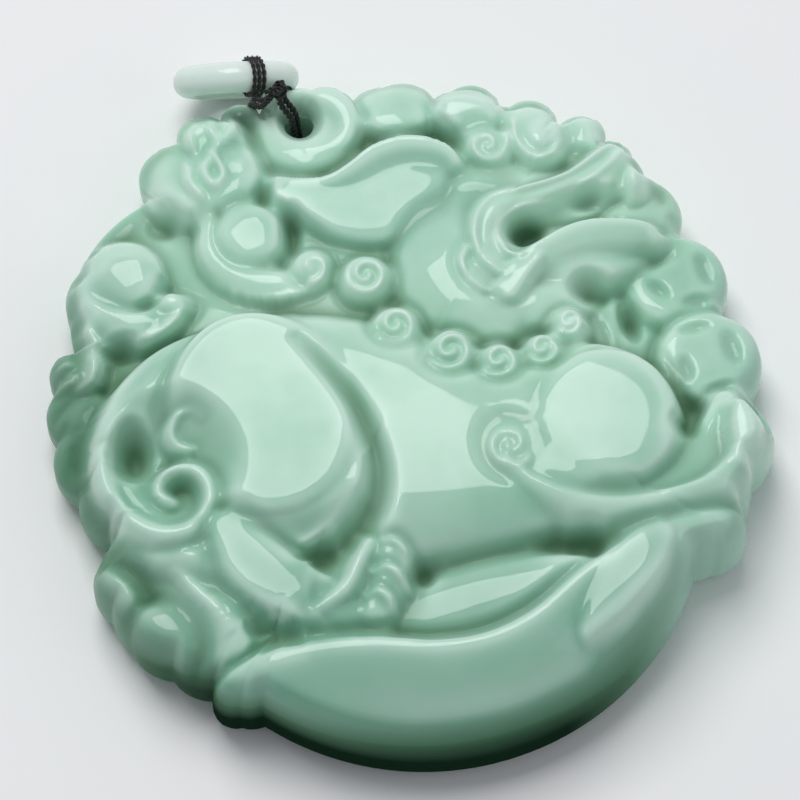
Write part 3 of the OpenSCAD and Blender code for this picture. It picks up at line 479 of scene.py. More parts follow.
          [23, -9.2, 2.4, 9.7], [24, -7.4, 1.8, 9.3]], 7.5, 5, 0, 0],
        [[[5.2, -6.6, 1.4, 12.5], [7, -9.6, 1.9, 12.5], [10, -12.1, 2.1, 12.3], [13.4, -13.5, 2.1, 11.9],
          [17.5, -14.2, 2.2, 11.6], [21, -14, 2.3, 11.5], [23.8, -12.4, 2.2, 11.3], [25.4, -9.8, 1.7, 11.1],
          [25.2, -7.8, 1.2, 10.6]], 6.4, 1.8, 0.6, 0]
    ]),
    # Row of hair curls under the jaw
    (Round, [[x, y, r, r, 0, z, 8, 4.5, 0.6] for x, y, r, z in HAIR]),
    (Pit, [[x, y, r * 0.85, r * 0.85, 0, 0.7, z, 3] for x, y, r, z in HAIR]),
    (Band.curl, [[x, y, r * 0.74, 1.5, 200, 1, r * 0.2, r * 0.17, z + 0.1, z + 0.2, z - 1.3]
                 for x, y, r, z in HAIR]),
    # Mound behind the ingot, then the ingot
    (Band.drawn, [
        [[[-6.2, -17, 1.8, 8.9], [-3, -16.8, 3, 9.5], [1, -16.8, 3.5, 10.1], [5, -16.9, 3.1, 10.6],
          [8.8, -16.6, 1.7, 10.8]], 8.2, 2, 0, 0.1],
        [[[-22.4, -19.4, 1.5, 7.8], [-20.6, -19.4, 2.7, 9.3], [-18, -19.5, 3.9, 10.3],
          [-15, -19.6, 4.6, 10.9], [-10, -20.8, 4.8, 11.2], [-5, -22.4, 4.5, 11.3], [0, -23, 4.3, 11.3],
          [5, -22.2, 4.3, 11.4], [10, -19.9, 4.2, 11.5], [14, -18.4, 3.9, 11.4], [17.5, -18, 3.4, 11],
          [20.2, -18, 2.9, 10.3], [22, -18.2, 1.8, 9.2]], 4.6, 1.7, 0.75, 0.5],
        [[[7.4, -22.2, 0.9, 10.8], [9.2, -20.5, 1.9, 11.3], [11.4, -18.8, 2.4, 11.6],
          [13.6, -17.1, 2.4, 11.7], [15.4, -16.1, 1.5, 11.6]], 9.6, 4, 0.2, 0]
    ]),
    # Curls on the small round at the left edge, the middle cloud, the brow and the scroll
    (Band.curl, [
        [-25.2, 11.2, 1.45, 1.3, 300, 1, 0.35, 0.3, 7.5, 7.4, 5.8],
        [-3.6, 14.3, 1.4, 1, 250, 1, 0.4, 0.3, 9.9, 9.8, 8.6],
        [13.2, 20.4, 1.8, 1.4, 20, -1, 0.42, 0.3, 9.6, 9.5, 8],
        [6.6, -5.2, 1.9, 1.4, 300, -1, 0.5, 0.4, 12.6, 12.5, 10.8]
    ]),
    # Hooked line in the dish, crest along the tail, level place inside the scroll's end
    (Band.drawn, [
        [[[-15.9, 4.2, 0.45, 11.3], [-16.5, 5.1, 0.5, 11.4], [-17.7, 5.2, 0.55, 11.4],
          [-18.7, 4.1, 0.55, 11.2], [-18.5, 2.8, 0.5, 11], [-17.5, 2.1, 0.4, 10.9]], 9.2, 2, 0, 0.2],
        [[[-21.9, -7.2, 0.35, 10.2], [-20.7, -9, 0.45, 10.6], [-19.7, -11, 0.45, 10.7],
          [-19.1, -13.4, 0.35, 10.4]], 8.6, 2, 0, 0.1],
        [[[25.2, -7.4, 1, 11.4], [25, -9.4, 1.6, 11.5], [24, -11.8, 1.1, 11.6]], 10, 9, 0, 0]
    ]),
    # Grooves of the beard, of the rump and the fur at the left edge, and the mouth running out to the snout
    (Cut.drawn, [
        [[[16.9, 3.6, 0.35, 0.2], [17.2, 1.8, 0.4, 0.5], [17, 0.2, 0.3, 0.3]], 8.4],
        [[[18, 3.4, 0.35, 0.2], [18.2, 1.8, 0.4, 0.5], [18, 0.4, 0.3, 0.3]], 8.2],
        [[[20.6, -0.6, 0.3, 0.3], [21.2, -3.4, 0.4, 0.5], [20.9, -6.4, 0.3, 0.3]], 8.6],
        [[[-24.9, 6.6, 0.4, 0.4], [-25.8, 3.4, 0.5, 0.7], [-26, -0.2, 0.5, 0.7], [-25.2, -3.2, 0.5, 0.7],
          [-23.4, -5.2, 0.4, 0.4]], 9],
        [[[-25.8, 7, 0.4, 0.4], [-26.8, 3.6, 0.5, 0.7], [-27, 0, 0.5, 0.7], [-26.2, -3.4, 0.4, 0.5]], 7.6],
        [[[-28.2, 2, 0.4, 0.4], [-27.4, 3.4, 0.5, 0.6], [-26.8, 5, 0.4, 0.4]], 6.4],
        [[[-28.4, 4.4, 0.4, 0.4], [-27.4, 6, 0.5, 0.6], [-26.6, 7.2, 0.4, 0.4]], 6.4],
        [[[-28, 7, 0.4, 0.4], [-27, 8.2, 0.5, 0.6], [-25.8, 9, 0.4, 0.4]], 6.4],
        [[[-24.3, 15.2, 0.6, 0.5], [-23.9, 13, 0.7, 0.9], [-24.3, 11.2, 0.5, 0.5]], 6.2],
        [[[-27.2, -5.2, 0.4, 0.3], [-25.6, -6.9, 0.5, 0.4], [-24.3, -9.3, 0.4, 0.3]], 8.4],
        [[[13.2, 11.8, 1.8, 1.2], [16, 12.4, 1.7, 1.5], [18.8, 12.8, 1.8, 1.4], [21.2, 12.8, 1.2, 0.3]], 8.4]
    ]),
    # Drilled pits between the forms
    (Pit, [
        [-22.2, 2.9, 1.9, 3, -15, 3.2, 9, 2], [-10.3, -9.6, 1.5, 1, 0, 1.8, 9.6, 2],
        [-17.2, -14.7, 1.1, 0.9, 0, 0.8, 7.6, 2], [-13.8, 22, 1.8, 1.4, -10, 1.7, 6.5, 2],
        [-20.3, 11.9, 1.5, 1, -20, 1.6, 6.6, 2], [13.5, 11.6, 2, 1.6, 0, 1.8, 8.4, 2.4],
        [19.4, 12.8, 2, 1.1, -4, 1, 7.6, 2], [16.8, 5.2, 2, 1.7, 0, 1.8, 7.8, 2],
        [19.2, 1.9, 0.9, 2.1, 0, 2, 7.4, 2], [20, -8.5, 1.3, 1.3, 0, 1.6, 9.6, 2],
        [9.4, -15.4, 1.8, 1, 0, 1.6, 8.4, 2], [-3.5, -14.4, 0.9, 0.6, 0, 1.2, 8.6, 2],
        [-4.4, 17.4, 1, 2.6, -20, 1.4, 7.2, 2], [-0.7, 27.2, 1.9, 2.2, 0, 2, 6, 4]
    ]),
)


class Sock:
    """A shader socket whose arithmetic adds Math nodes."""

    def __init__(self, tree: "Nodes", socket: bpy.types.NodeSocket) -> None:
        """Wraps a socket of a tree."""
        self.tree = tree
        self.socket = socket

    def _math(self, operation: str, *values: "float | Sock") -> "Sock":
        """Math node on values or sockets."""
        return self.tree.add("ShaderNodeMath", {"operation": operation}, dict(enumerate(values)))[0]

    def __add__(self, other: "float | Sock") -> "Sock":
        """Sum."""
        return self._math("ADD", self, other)

    def __sub__(self, other: "float | Sock") -> "Sock":
        """Difference."""
        return self._math("SUBTRACT", self, other)

    def __rsub__(self, other: "float | Sock") -> "Sock":
        """Difference from a number."""
        return self._math("SUBTRACT", other, self)

    def __mul__(self, other: "float | Sock") -> "Sock":
        """Product."""
        return self._math("MULTIPLY", self, other)

    __radd__ = __add__
    __rmul__ = __mul__

    def over(self, level: float, contrast: float) -> "Sock":
        """How far the value is over a level, times the contrast, held between 0 and 1."""
        return self.tree.add("ShaderNodeClamp", {}, {"Value": (self - level) * contrast})[0]


class Nodes:
    """Builds one material's node tree."""

    def __init__(self, name: str) -> None:
        """Starts a material with an output and a Principled shader.

        Args:
            name: the material's name.
        """
        self.material = bpy.data.materials.new(name)
        self.material.use_nodes = True
        self.tree = self.material.node_tree
        self.tree.nodes.clear()
        output = self.tree.nodes.new("ShaderNodeOutputMaterial")
        self.shader = self.tree.nodes.new("ShaderNodeBsdfPrincipled")
        self.tree.links.new(self.shader.outputs[0], output.inputs["Surface"])

    def put(self, socket: bpy.types.NodeSocket, value: "float | Sequence[float] | Sock") -> None:
        """Sets a socket's value, or links one to it.

        Args:
            socket: the node's input.
            value: what it gets.
        """
        if isinstance(value, Sock):
            self.tree.links.new(value.socket, socket)
        else:
            socket.default_value = value

    def add(self, kind: str, settings: dict, inputs: dict) -> list[Sock]:
        """Adds a node.

        Args:
            kind: the node's type.
            settings: its settings, set first.
            inputs: values or links by socket name or number.

        Returns:
            Its outputs.
        """
        node = self.tree.nodes.new(kind)
        for key, value in settings.items():
            setattr(node, key, value)
        for key, value in inputs.items():
            self.put(node.inputs[key], value)
        return [Sock(self, s) for s in node.outputs if s.enabled]

    def mix(self, factor: "float | Sock", *colours: "Colour | Sock") -> Sock:
        """Mix of two colours, which are a Mix node's inputs 6 and 7."""
        ends = [c if isinstance(c, Sock) else (*c, 1.0) for c in colours]
        return self.add("ShaderNodeMix", {"data_type": "RGBA"}, {0: factor, 6: ends[0], 7: ends[1]})[0]

    def noise(self, scale: float, detail: float, rough: float) -> Sock:
        """Noise over the object's own place, one value."""
        place = self.add("ShaderNodeTexCoord", {}, {})[3]
        return self.add("ShaderNodeTexNoise", {}, {
            "Vector": place, "Scale": scale, "Detail": detail, "Roughness": rough})[0]

    def given(self, name: str) -> Sock:
        """A value that the mesh holds for each point, 0 where it holds none."""
        return self.add("ShaderNodeAttribute", {"attribute_name": name}, {})[2]

    def surface(self, **sockets: "float | Sequence[float] | Sock") -> None:
        """Sets the shader's sockets, named with _ for each space."""
        for name, value in sockets.items():
            self.put(self.shader.inputs[name.replace("_", " ")], value)


@dataclass(frozen=True)
class Jade:
    """Polished jade: a waxy body with soft cloudy patches, and painted shade, darker and greener, in its
    hollows.
    """

    name: str
    pale: Colour
    green: Colour
    grey: Colour
    # Colour of the painted shade in the hollows
    deep: Colour
    teal: Colour = (0.1, 0.33, 0.22)
    # Painted shade under the lower rim, and the painted near black at its lowest edge
    painted_rim_shade: Colour = (0.075, 0.2, 0.11)
    painted_rim_black: Colour = (0.008, 0.024, 0.013)
    # Colour of the painted highlights along the crests
    light: Colour = (0.74, 0.95, 0.83)
    roughness: float = 0.11
    dull: float = 0.4
    gloss: float = 0.72
    depth: float = 1.6

    def material(self) -> bpy.types.Material:
        """Makes the material: layers of colour, each where its value is over a level.

        Returns:
            The material.
        """
        n = Nodes(self.name)
        hollow, under = n.given("hollow"), n.given("under")
        body = self.pale
        for value, level, contrast, share, colour in (
                (n.noise(90, 3, 0.55), 0.42, 4.0, 0.7, self.green),
                (n.noise(55, 2, 0.5), 0.5, 4.0, 0.45, self.grey),
                (n.noise(900, 4, 0.6), 0.45, 3.0, 0.2, self.pale),
                (n.given("low"), 0.0, 1.0, 0.65, self.teal),
                # Painted highlights along the crests
                (n.given("crest"), 0.0, 1.0, 0.6, self.light),
                # Painted shade in the hollows
                (hollow, 0.0, 1.0, 1.0, self.deep),
                # Painted shade under the lower rim and at the left edge, near black at the lowest part
                (under, 0.0, 1.6, 1.0, self.painted_rim_shade),
                (under, 0.55, 2.2, 1.0, self.painted_rim_black)):
            body = n.mix(value.over(level, contrast) * share, body, colour)
        n.surface(Base_Color=body, Roughness=(hollow * self.dull) + self.roughness, IOR=1.5,
                  Specular_IOR_Level=0.0, Subsurface_Weight=0.35,
                  Subsurface_Radius=(0.7, 1.0, 0.8), Subsurface_Scale=self.depth * MM,
                  Coat_Weight=(1 - hollow) * (1 - under) * self.gloss, Coat_Roughness=0.05)
        return n.material


@dataclass(frozen=True)
class Twine:
    """Dark twisted thread with a slight brown sheen."""

    name: str
    dark: Colour
    light: Colour

    def material(self) -> bpy.types.Material:
        """Makes the material.

        Returns:
            The material.
        """
        n = Nodes(self.name)
        fleck = n.noise(3500, 2, 0.5).over(0.5, 5.0)
        n.surface(Base_Color=n.mix(fleck, self.dark, self.light), Roughness=0.5, Sheen_Weight=0.2,
                  Sheen_Roughness=0.4)
        return n.material


@dataclass(frozen=True)
class Plain:
    """A plain matt surface."""

    name: str
    colour: Colour

    def material(self) -> bpy.types.Material:
        """Makes the material.

        Returns:
            The material.
        """
        n = Nodes(self.name)
        n.surface(Base_Color=(*self.colour, 1.0), Roughness=0.8)
        return n.material


class Finish(Enum):
    """The finishes, by what they are on."""

    STONE = Jade("jade_of_stone", pale=(0.53, 0.79, 0.64), green=(0.3, 0.62, 0.43), grey=(0.37, 0.62, 0.53),
                 deep=(0.15, 0.29, 0.18))
    RING = Jade("jade_of_ring", pale=(0.80, 0.90, 0.84), green=(0.70, 0.86, 0.77), grey=(0.74, 0.84, 0.82),
                deep=(0.5, 0.65, 0.58))
    THREAD = Twine("dark_twine", (0.004, 0.003, 0.003), (0.02, 0.012, 0.01))
    FLOOR = Plain("white_table", (0.97, 0.97, 0.97))


def new_piece(name: str, points: Array, faces: Sequence, finish: Finish) -> bpy.types.Object:
    """Makes a smooth-shaded object.

    Args:
        name: the piece's name.
        points: its corners, in metres.
        faces: lists of corner numbers.
        finish: its finish.

    Returns:
        The object, linked to the scene.
    """
    mesh = bpy.data.meshes.new(name)
    mesh.from_pydata(np.asarray(points).tolist(), [], [list(map(int, f)) for f in faces])
    mesh.polygons.foreach_set("use_smooth", [True] * len(mesh.polygons))
    mesh.materials.append(finish.value.material())
    mesh.update()
    piece = bpy.data.objects.new(name, mesh)
    bpy.context.scene.collection.objects.link(piece)
    LOG.info("%s: %d faces", name, len(mesh.polygons))
    return piece


def dress(piece: bpy.types.Object, node: str) -> None:
    """Has a piece ride with the object and stand for a solid.

    Args:
        piece: the piece.
        node: the solid's name.
    """
    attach(piece, "root")
    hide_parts(node)


def skin(rings: Array) -> Array:
    """Faces between each two neighbouring rings of corner numbers, a ring to a row."""
    a, b = rings[:-1], rings[1:]
    return np.stack([a, b, np.roll(b, -1, 1), np.roll(a, -1, 1)], -1).reshape(-1, 4)


@dataclass(frozen=True)
class Ramp:
    """A value that grows along a way, from 0 at a start to its most over a length in millimetres."""

    way: Place
    start: float
    length: float
    most: float = 1.0

    def at(self, points: Array) -> Array:
        """The value at points."""
        return np.clip((points @ self.way - self.start) / self.length, 0, self.most)


@dataclass
class CarvedStone:
    """The round stone: its outline, its face on a grid drawn out to it, its side and its flat back."""

    cells: int = 292
    reach: float = 27.0
    inner: float = 0.75
    edge_top: float = 4.2
    lowest: float = 4.3
    rim_share: float = 0.9
    edge_roll: float = 1.6
    edge_cells: int = 14
    back_inset: float = 1.0
    side_share: float = 0.62
    side_rings: int = 7
    # Passes of easing: the polish, steep walls, and three spreads whose differences tell hollows and crests
    polish: int = 2
    wall_polish: int = 9
    spreads: tuple[int, int, int] = (6, 24, 240)
    wall_gain: tuple[float, float] = (1.4, 1.3)
    hollow_gain: tuple[float, float] = (1.2, 0.34)
    crest_gain: float = 5.0
    # The painted shade under the rim, each part a ramp outward times a ramp downward, and the darker, tealer
    # low part
    painted_rim_shade: tuple = ((Ramp((-0.35, -0.8, 0), 16, 7), Ramp((0, 0, -1), -8.5, 3.2)),
                    (Ramp((-0.15, -0.8, 0), 16, 7), Ramp((0, 0, -1), -8.5, 3.2)),
                    (Ramp((-1, 0, 0), 22.5, 4.5, 0.4), Ramp((0, 0, -1), -10.5, 4)))
    teal: tuple = (Ramp((-0.3, -0.9, 0), 4, 20), Ramp((-1, 0, 0), 12, 14, 0.6))
    hole_radius: float = 1.2
    hole_length: float = 30.0
    hole_middle: float = 5.0
    bar_sides: int = 64
    channel_radius: float = 0.95
    channel_axis: float = -0.02
    channel_past: float = 1.4
    middle: tuple[float, float] = field(init=False)

    def __post_init__(self) -> None:
        """Finds the middle of the outline."""
        self.middle = seat(0, 0, self.edge_top)

    def outline(self, angle: Array) -> Array:
        """Finds the outline, which is the outermost edge of its lobes.

        Args:
            angle: directions from the middle, in radians.

        Returns:
            Its distance from the middle along each.
        """
        c, s = np.cos(angle), np.sin(angle)
        far = np.zeros_like(angle)
        for x, y, r, z in LOBES:
            lx, ly = seat(x, y, z)
            lx, ly = lx - self.middle[0], ly - self.middle[1]
            d = lx * c + ly * s
            e = r * r - lx * lx - ly * ly + d * d
            far = np.maximum(far, np.where(e > 0, d + np.sqrt(np.clip(e, 0, None)), 0))
        return far

    def inward(self, x: Array, y: Array) -> Array:
        """Finds how far in from the outline the grid's points lie, up to the width of the rolled edge.

        Args:
            x: x of each grid point.
            y: y of each grid point.

        Returns:
            The distance of each.
        """
        border, outer = np.ones_like(x, bool), np.ones_like(x, bool)
        border[1:-1, 1:-1] = False
        outer[self.edge_cells:-self.edge_cells, self.edge_cells:-self.edge_cells] = False
        edge_x, edge_y = x[border], y[border]
        depth = np.full(x.size, self.edge_roll)
        for part in np.array_split(np.flatnonzero(outer), 32):
            away = np.hypot(x.flat[part][:, None] - edge_x, y.flat[part][:, None] - edge_y)
            depth[part] = away.min(1)
        return depth.reshape(x.shape)

    def grid(self) -> tuple[Array, Array]:
        """Square grid drawn out to the outline.

        Returns:
            x and y of each grid point.
        """
        side = np.linspace(-1, 1, self.cells + 1)
        a, b = np.meshgrid(side, side)
        wide = np.abs(a) >= np.abs(b)
        with np.errstate(divide="ignore", invalid="ignore"):
            angle = np.where(wide, 45 * b / a + np.where(a < 0, 180, 0),
                             90 - 45 * a / b + np.where(b < 0, 180, 0))
        angle = np.radians(np.nan_to_num(angle))
        ray = np.maximum(np.abs(a), np.abs(b))
        outer = np.clip((ray - self.inner) / (1 - self.inner), 0, None) ** 2
        s = self.reach * ray + (self.outline(angle) - self.reach) * outer
        return self.middle[0] + s * np.cos(angle), self.middle[1] + s * np.sin(angle)

    @staticmethod
    def eased(z: Array, passes: int) -> Array:
        """Draws each height a little to its neighbours, as polishing does.

        Args:
            z: the heights.
            passes: how often.

        Returns:
            The new heights.
        """
        for _ in range(passes):
            p = np.pad(z, 1, mode="edge")
            z = (4 * z + 2 * (p[:-2, 1:-1] + p[2:, 1:-1] + p[1:-1, :-2] + p[1:-1, 2:])
                 + p[:-2, :-2] + p[2:, 2:] + p[:-2, 2:] + p[2:, :-2]) / 16
        return z

    @staticmethod
    def rise(x: Array, y: Array, z: Array, axis: int) -> Array:
        """Slope of the heights along one way of the grid."""
        return np.gradient(z, axis=axis) / np.hypot(np.gradient(x, axis=axis), np.gradient(y, axis=axis))

    def face(self, x: Array, y: Array) -> tuple[Array, Array, Array]:
        """The carved and polished face.

        Args:
            x: x of each grid point.
            y: y of each grid point.

        Returns:
            Its height, how deep in a hollow and how high on a crest each point lies.
        """
        relief = Relief(x, y)
        for make, rows, *follows in FACE:
            for row in rows:
                make(row, *follows).lay_on(relief)
        z = self.eased(np.clip(relief.z, self.lowest, None), self.polish)
        slope = np.hypot(self.rise(x, y, z, 0), self.rise(x, y, z, 1))
        gain, start = self.wall_gain
        wall = np.clip(self.eased(slope, self.spreads[0]) * gain - start, 0, 1)
        z = z + wall * (self.eased(z, self.wall_polish) - z)
        # The hollows also feed painted shade, and the crests painted highlights, in the stone's colour
        fine, near, wide = (self.eased(z, passes) for passes in self.spreads)
        small, large = self.hollow_gain
        hollow = np.clip((near - fine) * small + (wide - fine) * large, 0, 1)
        crest = np.clip((fine - near) * self.crest_gain, 0, 1)
        roll = 1 - np.clip(self.inward(x, y) / self.edge_roll, 0, 1)
        rim = np.minimum(self.edge_top, self.rim_share * z)
        return rim + (z - rim) * np.sqrt(np.clip(1 - roll ** 2, 0, 1)), hollow * (1 - roll), crest

    def side(self, edge: Array) -> Array:
        """Rounds the side off from the edge of the face down to the back.

        Args:
            edge: the face's outermost points.

        Returns:
            The side's points, ring by ring.
        """
        way = edge[:, :2] - self.middle
        reach = np.hypot(way[:, 0], way[:, 1])[:, None]
        rings = []
        for r in range(1, self.side_rings + 1):
            share = 1 - r / self.side_rings
            inset = self.back_inset * max(0.0, 1 - share / self.side_share) ** 2
            rings.append(np.column_stack([self.middle + way * (reach - inset) / reach, edge[:, 2] * share]))
        return np.vstack(rings)

    def build(self) -> bpy.types.Object:
        """Builds the stone with its cord hole.

        Returns:
            The piece.
        """
        x, y = self.grid()
        z, hollow, crest = self.face(x, y)
        top = np.stack([x, y, z], -1).reshape(-1, 3)
        grid = np.arange(x.size).reshape(x.shape)
        loop = np.concatenate([grid[0, :-1], grid[:-1, -1], grid[-1, :0:-1], grid[:0:-1, 0]])
        points = np.vstack([top, self.side(top[loop]), [[*self.middle, 0.0]]])
        levels = np.vstack([loop, x.size + np.arange(self.side_rings * loop.size).reshape(-1, loop.size)])
        cells = np.stack([grid[:-1, :-1], grid[:-1, 1:], grid[1:, 1:], grid[1:, :-1]], -1).reshape(-1, 4)
        last = np.full(loop.size, len(points) - 1)
        back = np.stack([np.roll(levels[-1], -1), levels[-1], last], -1)
        piece = new_piece("carved_stone", points * MM, [*cells, *skin(levels), *back], Finish.STONE)
        rest = np.zeros(len(points) - x.size)
        # Where shade is painted under the lower rim and at the left edge, low on the side
        under = np.max([out.at(points) * down.at(points) for out, down in self.painted_rim_shade], 0)
        low = np.max([ramp.at(points) for ramp in self.teal], 0)
        for name, value in (("hollow", np.append(hollow, rest)), ("crest", np.append(crest, rest)),
                            ("under", under), ("low", low)):
            piece.data.attributes.new(name, "FLOAT", "POINT").data.foreach_set("value", value)
        self.bore(piece)
        dress(piece, "carved_pendant")
        return piece

    def bore(self, piece: bpy.types.Object) -> None:
        """Cuts the cord hole, and the thread's channel from it over the back to the edge.

        Args:
            piece: the stone.
        """
        cx, cy = HOLE
        ex, ey = CHANNEL_END
        reach = math.hypot(ex - cx, ey - cy) * self.channel_past
        upright = Matrix.Translation((cx * MM, cy * MM, self.hole_middle * MM))
        lying = (Matrix.Translation((cx * MM, cy * MM, self.channel_axis * MM))
                 @ Matrix.Rotation(math.atan2(ey - cy, ex - cx), 4, "Z")
                 @ Matrix.Translation((reach / 2 * MM, 0, 0)) @ Matrix.Rotation(math.pi / 2, 4, "Y"))
        for radius, length, place in ((self.hole_radius, self.hole_length, upright),
                                      (self.channel_radius, reach, lying)):
            bm = bmesh.new()
            bmesh.ops.create_cone(bm, cap_ends=True, segments=self.bar_sides, radius1=radius * MM,
                                  radius2=radius * MM, depth=length * MM, matrix=place)
            mesh = bpy.data.meshes.new("bar")
            bm.to_mesh(mesh)
            bm.free()
            bar = bpy.data.objects.new("bar", mesh)
            bpy.context.scene.collection.objects.link(bar)
            cut = piece.modifiers.new("bore", "BOOLEAN")
            cut.operation, cut.solver, cut.object = "DIFFERENCE", "MANIFOLD", bar
            bored = piece.evaluated_get(bpy.context.evaluated_depsgraph_get())
            piece.data = bpy.data.meshes.new_from_object(bored)
            piece.modifiers.clear()
            bpy.data.objects.remove(bar)


@dataclass
class RingPose:
    """How the ring leans: turn about the vertical, lean from it, and tilt in its own plane, in degrees."""

    place: Place
    turn: float
    lean: float
    tilt: float

    def matrix(self) -> Matrix:
        """From the ring's own frame to the object's, in millimetres."""
        return (Matrix.Translation(self.place) @ Matrix.Rotation(math.radians(self.turn), 4, "Z")
                @ Matrix.Rotation(math.radians(self.lean), 4, "X")
                @ Matrix.Rotation(math.radians(-self.tilt), 4, "Y"))

    def at(self, x: float, y: float, z: float) -> Array:
        """A point of the ring's own frame, in the object's."""
        return np.array(self.matrix() @ Vector((x, y, z)))


RING_WIDTH = 10.4
RING_THICK = 2.6
RING_LEAN = 67.0
RING_LIFT = 0.02
RING_TUBE = RING_THICK / 2
RING_MEAN = RING_WIDTH / 2 - RING_TUBE
RING = RingPose((-4.45, 32.25, RING_MEAN * math.sin(math.radians(RING_LEAN)) + RING_TUBE + RING_LIFT),
                turn=-18.0, lean=-RING_LEAN, tilt=3.0)


@dataclass
class BailRing:
    """The small pale ring that a necklace cord passes through, its section a circle worn a little square."""

    around: int = 160
    section: int = 40
    squareness: float = 2.4
    slack: float = 0.985

    def build(self) -> bpy.types.Object:
        """Builds the ring.

        Returns:
            The piece.
        """
        turn = np.radians(np.arange(self.around) * 360 / self.around)[:, None]
        side = np.radians(np.arange(self.section) * 360 / self.section)
        c, s = np.cos(side), np.sin(side)
        power = self.squareness
        grow = np.minimum(self.slack / (np.abs(c) ** power + np.abs(s) ** power) ** (1 / power), 1.0)
        m = RING_MEAN + RING_TUBE * (grow * c)
        high = RING_TUBE * (grow * s) + 0 * turn
        local = np.stack([m * np.cos(turn), m * np.sin(turn), high], -1).reshape(-1, 3)
        pose = np.array(RING.matrix())
        points = local @ pose[:3, :3].T + pose[:3, 3]
        rings = np.arange(len(points)).reshape(self.around, self.section)
        piece = new_piece("jade_ring", points * MM, skin(np.vstack([rings, rings[:1]])), Finish.RING)
        dress(piece, "bail_ring")
        return piece


@dataclass
class TiedThread:
    """The thread of two plies: three turns round the ring, a knot, and two runs through the cord hole."""

    width: float = 0.6
    ring_width: float = 0.4
    between: float = 0.02
    off_ring: float = 0.03
    plies: int = 2
    ply_sides: int = 8
    ply_offset: float = 0.24
    ply_radius: float = 0.25
    twist_pitch: float = 1.1
    band_turn: float = 22.6
    # Steps between two points of the loop, and degrees of a turn round the ring and of a wrap to a step
    loop_steps: int = 14
    ring_step: int = 5
    wrap_step: int = 10
    aside: Place = (0.7, 0.7, 0.0)
    first_side: Place = (0.3, 0.5, 0.8)
    knot_at: Place = (3.6, -(RING_MEAN + 0.9), -1.15)
    # Wraps of the knot: place along the thread and radius of each, width, height and wave of all
    wraps: tuple = ((-0.1, 0.5), (0.4, 0.5))
    wrap_shape: tuple[float, float, float] = (0.8, 1.1, 0.12)
    # Its two ends, from its middle, and how far they bend up
    ends: tuple = ((-1.2, 0.1, -0.3), (1.0, -0.1, -0.1))
    end_rise: float = 0.25
    points: list = field(default_factory=list)
    faces: list = field(default_factory=list)

    def loop_points(self) -> Array:
        """Lays out the loop from the knot through the cord hole and back.

        Returns:
            Places along it.
        """
        hx, hy = HOLE
        cx, cy = CHANNEL_END
        return np.array([
            RING.at(*self.knot_at), [hx - 0.9, hy + 1.5, 7.4], [hx - 0.3, hy + 0.75, 5.9],
            [hx - 0.2, hy + 0.35, 4.0], [hx - 0.15, hy + 0.15, 1.4], [hx - 0.9, hy + 0.9, 0.44],
            [cx + 0.9, cy - 0.9, 0.44], [cx - 0.1, cy + 0.1, 1.4], [cx, cy + 0.1, 4.0],
            [cx + 0.5, cy - 1.5, 6.5]])

    def tube(self, line: Array, radius: float, closed: bool) -> None:
        """Adds a round tube along a line.

        Args:
            line: its points in millimetres.
            radius: its radius.
            closed: whether it runs back to its start.
        """
        ahead = np.roll(line, -1, 0) - np.roll(line, 1, 0)
        if not closed:
            ahead[0], ahead[-1] = line[1] - line[0], line[-1] - line[-2]
        ahead /= np.linalg.norm(ahead, axis=1, keepdims=True)
        u = np.empty_like(ahead)
        u[0] = np.cross(ahead[0], self.first_side)
        for i in range(len(line)):
            v = u[max(i - 1, 0)]
            v = v - ahead[i] * (v @ ahead[i])
            u[i] = v / np.linalg.norm(v)
        w = np.cross(ahead, u)
        a = np.radians(np.arange(self.ply_sides) * 360 / self.ply_sides)
        rings = line[:, None] + radius * (np.cos(a)[:, None] * u[:, None] + np.sin(a)[:, None] * w[:, None])
        base = sum(len(p) for p in self.points)
        self.points.append(rings.reshape(-1, 3))
        rows = base + np.arange(len(line) * self.ply_sides).reshape(-1, self.ply_sides)
        self.faces += skin(np.vstack([rows, rows[:1]]) if closed else rows)[:, ::-1].tolist()
        if not closed:
            self.faces += [rows[0, ::-1].tolist(), rows[-1].tolist()]

    def twisted(self, line: Array, closed: bool, width: float) -> None:
        """Adds the plies of one run of thread along a line.

        Args:
            line: the run's middle, in millimetres.
            closed: whether it runs back to its start.
            width: the run's width.
        """
        step = np.linalg.norm(np.diff(line, axis=0), axis=1)
        turns = np.concatenate([[0], np.cumsum(step)]) / self.twist_pitch
        if closed:
            whole = turns[-1] + step[-1] / self.twist_pitch
            turns *= round(whole) / whole
        ahead = np.roll(line, -1, 0) - np.roll(line, 1, 0)
        ahead /= np.linalg.norm(ahead, axis=1, keepdims=True)
        first = np.cross(ahead, self.aside)
        first /= np.linalg.norm(first, axis=1, keepdims=True)
        second = np.cross(ahead, first)
        for ply in range(self.plies):
            a = 2 * math.pi * (turns + ply / self.plies)
            offset = width * self.ply_offset * (np.cos(a)[:, None] * first + np.sin(a)[:, None] * second)
            self.tube(line + offset, width * self.ply_radius, closed)

    def build(self) -> bpy.types.Object:
        """Builds the thread.

        Returns:
            The piece.
        """
        gap = self.width / 2 + self.between
        for side in (-1, 1):
            route = self.loop_points() + side * gap * np.array(self.aside)
            self.twisted(smooth_line(route, self.loop_steps, closed=True), True, self.width)
        gap = self.ring_width + self.between
        reach = RING_TUBE + self.off_ring + self.ring_width / 2
        turn = math.radians(self.band_turn)
        for side in (-1, 0, 1):
            ring = []
            for a in np.radians(np.arange(0, 360, self.ring_step)):
                m = RING_MEAN + reach * math.cos(a)
                ring.append(RING.at(m * math.sin(turn) + side * gap * math.cos(turn),
                                    side * gap * math.sin(turn) - m * math.cos(turn), reach * math.sin(a)))
            self.twisted(np.array(ring), True, self.ring_width)
        self.knot()
        piece = new_piece("tied_thread", np.vstack(self.points) * MM, self.faces, Finish.THREAD)
        dress(piece, "thread")
        return piece

